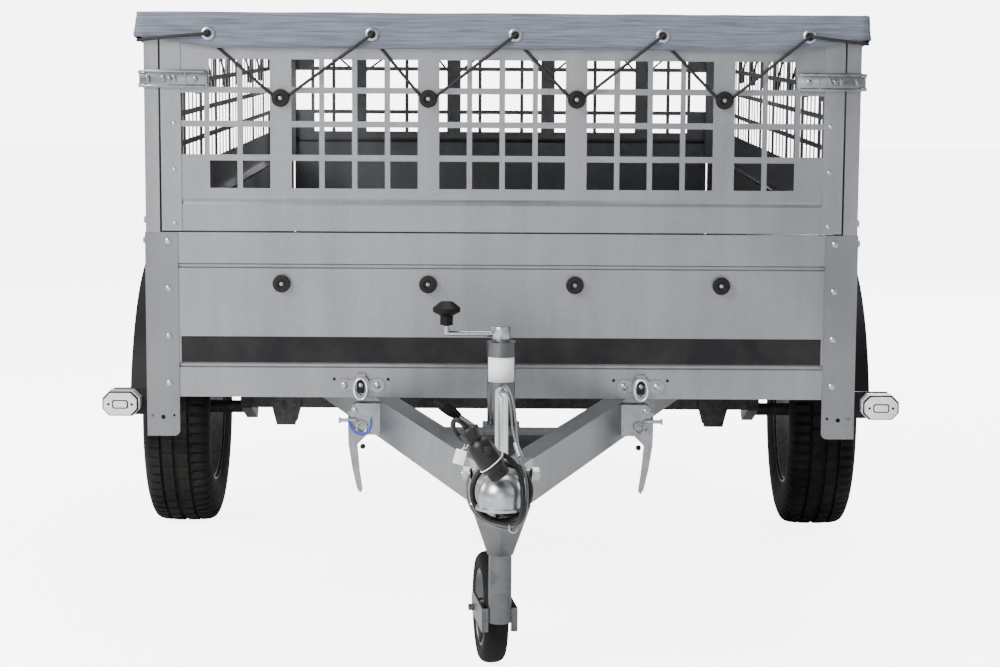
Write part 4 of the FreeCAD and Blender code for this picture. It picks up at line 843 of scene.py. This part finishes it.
def end_lacing(wall, face, name):
    """Zigzag on the front or the rear wall, from each eyelet's back to the next eyelet's face."""
    def at(along, out, up):
        return along, wall + face * out, up
    for number, x in enumerate(BUTTON_PLACES):
        first, last = EYELET_PLACES[number:number + 2]
        points = [at(first + 0.004, 0.0042, 1.158), at(first + 0.015, 0.0042, 1.143)]
        points += round_button(at, x)
        points += [at(last - 0.016, 0.0190, 1.1545), at(last, 0.0190, EYELET_LEVEL),
                   at(last + 0.002, 0.0135, EYELET_LEVEL + 0.002)]
        elastic(f"lacing_{name}_{number + 1}", points)


def side_lacing(side, name):
    """Zigzag on a side wall, over the skirt at both eyelets."""
    def at(along, out, up):
        return side * (POST_HALF + out), along, up
    for number, y in enumerate(SIDE_BUTTONS):
        first, last = SIDE_EYELETS[number:number + 2]
        points = [at(first, 0.0192, EYELET_LEVEL), at(first + 0.012, 0.0192, 1.1545)]
        points += round_button(at, y)
        points += [at(last - 0.012, 0.0192, 1.1545), at(last, 0.0192, EYELET_LEVEL),
                   at(last + 0.002, 0.0135, EYELET_LEVEL + 0.002)]
        elastic(f"lacing_{name}_{number + 1}", points)


def corner_lacing(side, wall, out, name):
    """The cord that goes round a corner, from the last eyelet of the end to the side's first."""
    eye = EYELET_PLACES[0] if side < 0 else EYELET_PLACES[-1]
    near = SIDE_EYELETS[0] if out < 0 else SIDE_EYELETS[-1]
    elastic(name, [(eye, wall + out * 0.0140, EYELET_LEVEL + 0.001),
                   (eye + side * 0.010, wall + out * 0.0190, EYELET_LEVEL - 0.001),
                   (side * 0.600, wall + out * 0.0175, 1.1605),
                   (side * 0.636, wall + out * 0.0135, 1.1560),
                   (side * 0.6570, wall + out * 0.0110, 1.1535),
                   (side * 0.6600, wall - out * 0.020, 1.1560),
                   (side * 0.6665, wall - out * 0.060, 1.1605),
                   (side * 0.6672, near + out * 0.010, EYELET_LEVEL - 0.001),
                   (side * 0.6620, near - out * 0.001, EYELET_LEVEL)])


def lacing():
    """Elastic cord that zigzags between the eyelets and the buttons."""
    ends = (("front", 0.0, -1), ("rear", BOX_LENGTH, 1))
    for end, wall, face in ends:
        end_lacing(wall, face, end)
    for side, name in ((-1, "left"), (1, "right")):
        side_lacing(side, name)
        for end, wall, face in ends:
            corner_lacing(side, wall, face, f"lacing_{end}_{name}_corner")


tarpaulin()
eyelets()
buttons()
lacing()


# Boards and panels

def stripe():
    """Dark film band on the front board."""
    shape = bmesh.new()
    slab(shape, (-0.586, -0.0005, 0.568), (0.586, 0.0004, 0.616))
    finished(shape, "front_stripe", "box", "stripe")


def board_bolts():
    """Coach bolts of the corner plates, rivets of the channels and the panels' side bolts."""
    shape = bmesh.new()
    for side in (-1, 1):
        for y, out in ((-0.002, -1), (BOX_LENGTH + 0.002, 1)):
            for z in (0.791, 0.704, 0.616, 0.529):
                domed(shape, (side * 0.608, y, z), (0, out, 0), 0.0064, 0.0032)
            for z in (1.005, 0.9215, 0.823):
                domed(shape, (side * 0.5945, y, z), (0, out, 0), 0.0042, 0.0022)
        bolt(shape, (side * 0.6482, 0.030, 0.827), (side, 0, 0), 0.0062, 0.006)
        bolt(shape, (side * 0.6502, 0.030, 0.790), (side, 0, 0), 0.0062, 0.006)
    finished(shape, "board_bolts", "box", "bright")


def catch(shape, side, y, out):
    """Toggle catch: ribbed strap, hook plate, screws and a leg round the corner."""
    level = 1.085
    depth = 0.0032
    outline = [(0.532, -0.0130), (0.5375, -0.0165), (0.649, -0.0165), (0.656, -0.0135),
               (0.656, 0.0135), (0.649, 0.0165), (0.5375, 0.0165), (0.532, 0.0130)]
    plate(shape, [(side * across, up) for across, up in outline], depth,
          upright(0, max(y, y + out * depth), level), 0.0008)
    face = y + out * depth
    raised = [(0.597, 0.060, up, 0.0022, 0.0035, 0.0008) for up in (-0.0135, 0.0135)]
    raised += [(across, 0.0035, 0.0, 0.006, 0.0042, 0.0012) for across in (0.640, 0.612, 0.592)]
    raised += [(0.572, 0.001, 0.0, 0.012, 0.003, 0.0004)]
    for across, wide, up, tall, proud, soft in raised:
        slab(shape, (side * across - wide, face, level + up - tall),
             (side * across + wide, face + out * proud, level + up + tall), soft)
    for across in (0.601, 0.554):
        domed(shape, (side * across, face, level), (0, out, 0), 0.0052, 0.0026)
    slab(shape, (side * 0.6485, y, level - 0.0150),
         (side * 0.6515, y - out * 0.030, level + 0.0150), 0.0006)


def catches():
    shape = bmesh.new()
    for side in (-1, 1):
        catch(shape, side, -0.0024, -1)
        catch(shape, side, BOX_LENGTH + 0.0024, 1)
    piece = finished(shape, "corner_catches", "box", "fitting")
    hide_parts("corner_clips_front", "corner_clips_rear")
    for side, name in ((-1, "left"), (1, "right")):
        for y, out, end in ((-0.0024, -1, "front"), (BOX_LENGTH + 0.0024, 1, "rear")):
            spots = [(0.646, 0.006, 1.096), (0.6565, 0.005, 1.096), (0.6580, -0.012, 1.096),
                     (0.6580, -0.030, 1.096), (0.6580, -0.033, 1.085), (0.6580, -0.030, 1.074),
                     (0.6580, -0.012, 1.074), (0.6565, 0.005, 1.074), (0.646, 0.006, 1.074)]
            points = [(side * across, y + out * away, up) for across, away, up in spots]
            strung(f"catch_wire_{end}_{name}", points, 0.0018, "box", "bright")


stripe()
board_bolts()
catches()


# Wheels

TYRE_SECTION = [
    (0.0600, 0.1650), (0.0655, 0.1720), (0.0710, 0.1850), (0.0755, 0.2020), (0.0775, 0.2180),
    (0.0768, 0.2340), (0.0745, 0.2470), (0.0705, 0.2580), (0.0655, 0.2650), (0.0590, 0.2690),
    (0.0500, 0.2712), (0.0400, 0.2722), (0.0360, 0.2724), (0.0352, 0.2655), (0.0298, 0.2655),
    (0.0290, 0.2728), (0.0200, 0.2733), (0.0060, 0.2735), (0.0050, 0.2665), (0.0, 0.2665)]


def tyre(side, name):
    """Road tyre with three grooves, shoulder slots and a stepped sidewall."""
    shape = bmesh.new()
    section = TYRE_SECTION + [(-along, radius) for along, radius in reversed(TYRE_SECTION[:-1])]
    steps = 288
    lathed(shape, section, (0, 0, 0), (1, 0, 0), steps)
    for vertex in shape.verts:
        along = vertex.co.x
        radius = math.hypot(vertex.co.y, vertex.co.z)
        turn = math.atan2(vertex.co.z, vertex.co.y) / math.tau * steps
        beat = round(turn) % 4
        cut = 0.0
        if 0.0395 < abs(along) < 0.0710 and radius > 0.257 and beat == (0 if along > 0 else 2):
            cut = 0.0062
        elif 0.0055 < abs(along) < 0.0295 and radius > 0.27 and round(turn) % 6 == 0:
            cut = 0.0036
        if cut:
            share = (radius - cut) / radius
            vertex.co.y *= share
            vertex.co.z *= share
    bmesh.ops.translate(shape, vec=(side * WHEEL_X, AXLE_Y, TYRE_RADIUS), verts=shape.verts)
    piece = finished(shape, "road_tyre_" + name, "wheel_" + name, "rubber", 32)
    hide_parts("tyre_" + name)


def rim(side, name):
    """Pressed steel rim: flanged barrel, dished disc with vent slots, bolts and a hub cap."""
    shape = bmesh.new()
    barrel = [(-0.066, 0.1715), (-0.0655, 0.1765), (-0.062, 0.1760), (-0.060, 0.1655),
              (-0.046, 0.1600), (-0.032, 0.1500), (-0.026, 0.1440), (0.018, 0.1440),
              (0.026, 0.1500), (0.040, 0.1600), (0.060, 0.1655), (0.062, 0.1760),
              (0.0655, 0.1765), (0.066, 0.1715)]
    lathed(shape, barrel, (0, 0, 0), (1, 0, 0), 72)
    disc = bmesh.new()
    steps = 72
    dish = [(0.012, 0.1440), (0.026, 0.1400), (0.036, 0.1270), (0.041, 0.1120), (0.042, 0.1020),
            (0.035, 0.0900), (0.022, 0.0780), (0.018, 0.0660), (0.020, 0.0500), (0.020, 0.0330)]
    lathed(disc, dish, (0, 0, 0), (1, 0, 0), steps)
    gone = []
    for face in disc.faces:
        middle = face.calc_center_median()
        radius = math.hypot(middle.y, middle.z)
        turn = math.atan2(middle.z, middle.y) / math.tau * steps
        if 0.098 < radius < 0.124 and math.floor(turn) % 6 in (1, 2):
            gone.append(face)
    bmesh.ops.delete(disc, geom=gone, context="FACES")
    joined(shape, disc)
    shape.transform(Matrix.Translation((side * WHEEL_X, AXLE_Y, TYRE_RADIUS))
                    @ Matrix.Rotation(0 if side > 0 else math.pi, 4, "Z"))
    piece = finished(shape, "steel_rim_" + name, "wheel_" + name, "rim", 50,
                     thick=0.003)
    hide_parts("rim_" + name)
    hub = bmesh.new()
    centre = Vector((side * WHEEL_X, AXLE_Y, TYRE_RADIUS))
    face = centre + Vector((side * 0.0215, 0, 0))
    for number in range(4):
        angle = math.pi / 4 + number * math.pi / 2
        spot = face + Vector((0, math.cos(angle), math.sin(angle))) * 0.049
        bolt(hub, spot, (side, 0, 0), 0.0098, 0.012, 0.013)
    lathed(hub, [(-0.055, 0.032), (-0.050, 0.050), (-0.012, 0.054), (-0.002, 0.048), (0.0, 0.034),
                 (0.022, 0.031), (0.030, 0.027), (0.033, 0.018), (0.034, 0.0)], face,
           (side, 0, 0), 40)
    rod(hub, centre + Vector((side * 0.034, 0.1, 0.1)),
        centre + Vector((side * 0.060, 0.104, 0.104)), 0.0038, 0.003)
    finished(hub, "hub_" + name, "wheel_" + name, "bright")


JACK_HUB = Vector((-0.0170, -0.1511, 0.1500))
JACK_LINE = Vector((math.cos(math.radians(7.5)), math.sin(math.radians(7.5)), 0))


def jockey_wheel():
    """Solid rubber tyre on a pressed two-piece rim with its hub."""
    rubber = bmesh.new()
    half = [(0.0176, 0.0680), (0.0190, 0.0735), (0.0200, 0.0755), (0.0206, 0.0810),
            (0.0220, 0.0868), (0.0213, 0.0905), (0.0191, 0.0938), (0.0158, 0.0966),
            (0.0118, 0.0986), (0.0068, 0.0997), (0.0, 0.1)]
    section = half + [(-along, radius) for along, radius in reversed(half[:-1])]
    lathed(rubber, section + [half[0]], JACK_HUB, JACK_LINE, 96)
    piece = finished(rubber, "jockey_tyre", "jack_wheel", "rubber", 34)
    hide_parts("jack_tyre")
    steel = bmesh.new()
    half = [(0.022, 0.0064), (0.022, 0.0160), (0.0070, 0.0168), (0.0044, 0.0190),
            (0.0044, 0.0300), (0.0064, 0.0330), (0.0064, 0.0480), (0.0044, 0.0510),
            (0.0050, 0.0560), (0.0110, 0.0610), (0.0176, 0.0637), (0.0192, 0.0662),
            (0.0186, 0.0684), (0.0172, 0.0682)]
    section = half + [(-along, radius) for along, radius in reversed(half)]
    lathed(steel, section + [half[0]], JACK_HUB, JACK_LINE, 72)
    piece = finished(steel, "jockey_rim", "jack_wheel", "tube", 40)
    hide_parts("jack_rim")


for side, name in ((-1, "left"), (1, "right")):
    tyre(side, name)
    rim(side, name)
jockey_wheel()


# Marker and tail lamps

def octagon(wide, tall, cut):
    return [(-wide + cut, -tall), (wide - cut, -tall), (wide, -tall + cut), (wide, tall - cut),
            (wide - cut, tall), (-wide + cut, tall), (-wide, tall - cut), (-wide, -tall + cut)]


def marker_lamps():
    """Clear eight-sided lenses on black trim, with a raised middle and two screws."""
    lens = bmesh.new()
    trim = bmesh.new()
    for side in (-1, 1):
        x, y, z = side * 0.698, -0.0052, 0.491
        plate(trim, octagon(0.0325, 0.0228, 0.012), 0.0022, upright(x, y + 0.0022, z), 0.0004)
        plate(lens, octagon(0.0300, 0.0203, 0.0115), 0.0090, upright(x, y, z), 0.0018)
        plate(trim, octagon(0.0150, 0.0082, 0.003), 0.0008, upright(x, y - 0.0084, z), 0.0003)
        plate(lens, octagon(0.0125, 0.0060, 0.002), 0.0016, upright(x, y - 0.0084, z), 0.0005)
        for across in (-0.0215, 0.0215):
            domed(trim, (x + across, y - 0.0088, z), (0, -1, 0), 0.0026, 0.0012)
    finished(lens, "marker_lenses", "box", "lens")
    finished(trim, "marker_trim", "box", "plastic")


def tail_lenses():
    """Lens panes on the tail lamps, with a ribbed edge and screws."""
    red = bmesh.new()
    amber = bmesh.new()
    clear = bmesh.new()
    screws = bmesh.new()
    back, face = 2.4090, 2.4128
    for side in (-1, 1):
        for shape, near, far in ((clear, 0.4300, 0.4640), (red, 0.4660, 0.5640),
                                 (amber, 0.5660, 0.6320)):
            slab(shape, (side * near, back, 0.3957), (side * far, face, 0.4877), 0.0016)
            for number in range(7):
                level = 0.4030 + number * 0.0126
                slab(shape, (side * (near + 0.004), face - 0.0004, level),
                     (side * (far - 0.004), face + 0.0006, level + 0.0016), 0.0004)
        for across in (0.4360, 0.5780):
            domed(screws, (side * across, face, 0.4800), (0, 1, 0), 0.0034, 0.0014)
            domed(screws, (side * across, face, 0.4035), (0, 1, 0), 0.0034, 0.0014)
    finished(red, "tail_lenses_red", "box", "red")
    finished(amber, "tail_lenses_amber", "box", "amber")
    finished(clear, "tail_lenses_clear", "box", "lens")
    finished(screws, "tail_lens_screws", "box", "bright")


marker_lamps()
tail_lenses()


# Jack and latch fittings

def jack_label():
    """Blank white label bent round the jack's tube."""
    radius = 0.02432
    shape = bmesh.new()
    bmesh.ops.create_grid(shape, x_segments=14, y_segments=2, size=1.0)
    for vertex in shape.verts:
        turn = vertex.co.x * math.radians(66)
        vertex.co = Vector((radius * math.sin(turn), -0.280 - radius * math.cos(turn),
                            0.602 + 0.023 * vertex.co.y))
    bmesh.ops.recalc_face_normals(shape, faces=shape.faces)
    finished(shape, "jack_label", "drawbar", "paper", thick=0.0003)


def crank_hub():
    """Round sleeve that carries the crank's rod above the jack's cap."""
    shape = bmesh.new()
    section = [(0.0, 0.0125), (0.0, 0.0152), (0.0008, 0.0158), (0.0225, 0.0158),
               (0.0240, 0.0150), (0.0246, 0.0132), (0.0246, 0.0)]
    lathed(shape, section, (0.0, -0.280, 0.6490), (0, 0, 1), 40)
    rod(shape, (-0.0170, -0.280, 0.6660), (-0.0150, -0.280, 0.6660), 0.0066)
    finished(shape, "crank_hub", "drawbar", "bright")


def latch_fittings():
    """Screws, nubs and wire loops of the keepers, latch pins with rings, and a pin's tie."""
    shape = bmesh.new()
    dark = bmesh.new()
    screws = bmesh.new()
    nubs = bmesh.new()
    for side in (-1, 1):
        for across in (0.2266, 0.2872):
            domed(screws, (side * across, -0.0033, 0.527), (0, -1, 0), 0.0062, 0.0030)
        rod(nubs, (side * 0.2569, -0.0090, 0.5280), (side * 0.2569, -0.0104, 0.5280), 0.0074)
        slab(nubs, (side * 0.2569 - 0.0074, -0.0099, 0.5130),
             (side * 0.2569 + 0.0074, -0.0090, 0.5440), 0.0008)
        domed(screws, (side * 0.2569, -0.0104, 0.5280), (0, -1, 0), 0.0042, 0.0020)
        for across in (0.306, 0.207):
            lathed(nubs, [(0, 0.0030), (0.0003, 0.0030), (0.0003, 0.0)],
                   (side * across, 0.0, 0.538), (0, -1, 0), 14)
        rod(shape, (side * 0.2930, -0.0385, 0.4680), (side * 0.2620, -0.0385, 0.4680), 0.0036)
        rod(shape, (side * 0.2955, -0.0385, 0.4680), (side * 0.2920, -0.0385, 0.4680), 0.0058)
        hoop(shape, (side * 0.2640, -0.0400, 0.4600), (side * 1, -0.4, 0), 0.0092, 0.0010, 28, 8)
        domed(dark, (side * 0.2520, -0.0340, 0.4190), (0, -1, 0), 0.0052, 0.0035)
        domed(shape, (side * 0.2660, -0.0330, 0.4850), (0, -1, 0), 0.0058, 0.0022)
        hoop(shape, (side * 0.2530, -0.0440, 0.4560), (0.1, -1, 0.1), 0.0095, 0.0012, 30, 8)
    finished(shape, "latch_pins", "drawbar", "bright")
    finished(dark, "latch_nuts", "drawbar", "plastic")
    finished(screws, "keeper_screws", "box", "bright")
    finished(nubs, "keeper_nubs", "box", "plastic")
    for side, name in ((-1, "left"), (1, "right")):
        turns = [math.tau * step / 32 for step in range(32)]
        oval = [(side * 0.2569 + 0.0117 * math.cos(turn), -0.0142,
                 0.5215 + 0.0195 * math.sin(turn)) for turn in turns]
        strung(f"keeper_loop_{name}", oval, 0.0021, "box", "chrome", closed=True)
    spots = [(-0.2770, -0.0430, 0.4680), (-0.2740, -0.0470, 0.4560), (-0.2640, -0.0490, 0.4460),
             (-0.2510, -0.0490, 0.4420), (-0.2410, -0.0480, 0.4470), (-0.2360, -0.0470, 0.4580),
             (-0.2365, -0.0450, 0.4710)]
    strung("pin_tie", spots, 0.0019, "drawbar", "blue", False)


jack_label()
crank_hub()
latch_fittings()


# Materials of the frame's own nodes

NODE_FINISH = {
    "sheet": ["front_board", "side_board_left", "side_board_right", "tailgate",
              "mesh_panel_front", "mesh_panel_rear", "mesh_panel_left", "mesh_panel_right",
              "light_bar", "plate_carrier"],
    "corner": ["corner_plates_front", "corner_plates_rear"],
    "frame": ["drawbar_beam_left", "drawbar_beam_right", "drawbar_crossbar"],
    # Painted shade: the gusset takes the darker brace zinc.
    "brace": ["jack_gusset"],
    # Painted shade: the parts under the box take the dark zinc.
    "under": ["hinge_brackets", "cross_members", "axle_beam", "axle_arms", "axle_brackets"],
    "bright": ["coupling", "jack_nut", "jack_rim"],
    "fitting": ["tip_latches", "tip_keepers"],
    # Painted shade: the jack's tubes and fork take the darker tube zinc.
    "tube": ["jack_outer_tube", "jack_inner_tube", "jack_fork"],
    "knobbed": ["jack_crank"],
    "handled": ["jack_clamp"],
    "chrome": ["coupling_handle"],
    "fender": ["fender_left", "fender_right"],
    "plastic": ["lamp_arms", "tail_lamps"],
    "rubber": ["jack_tyre", "tyre_left", "tyre_right"],
    "rim": ["rim_left", "rim_right"],
    "lens": ["front_lamps"],
    "plywood": ["load_floor"],
    "cloth": ["tarpaulin"],
}


def dress_nodes():
    chosen = {node: finish for finish, nodes in NODE_FINISH.items() for node in nodes}
    for name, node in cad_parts.items():
        finish = FINISH[chosen.get(name, "bright")]
        node.data.materials.clear()
        node.data.materials.append(finish)


dress_nodes()
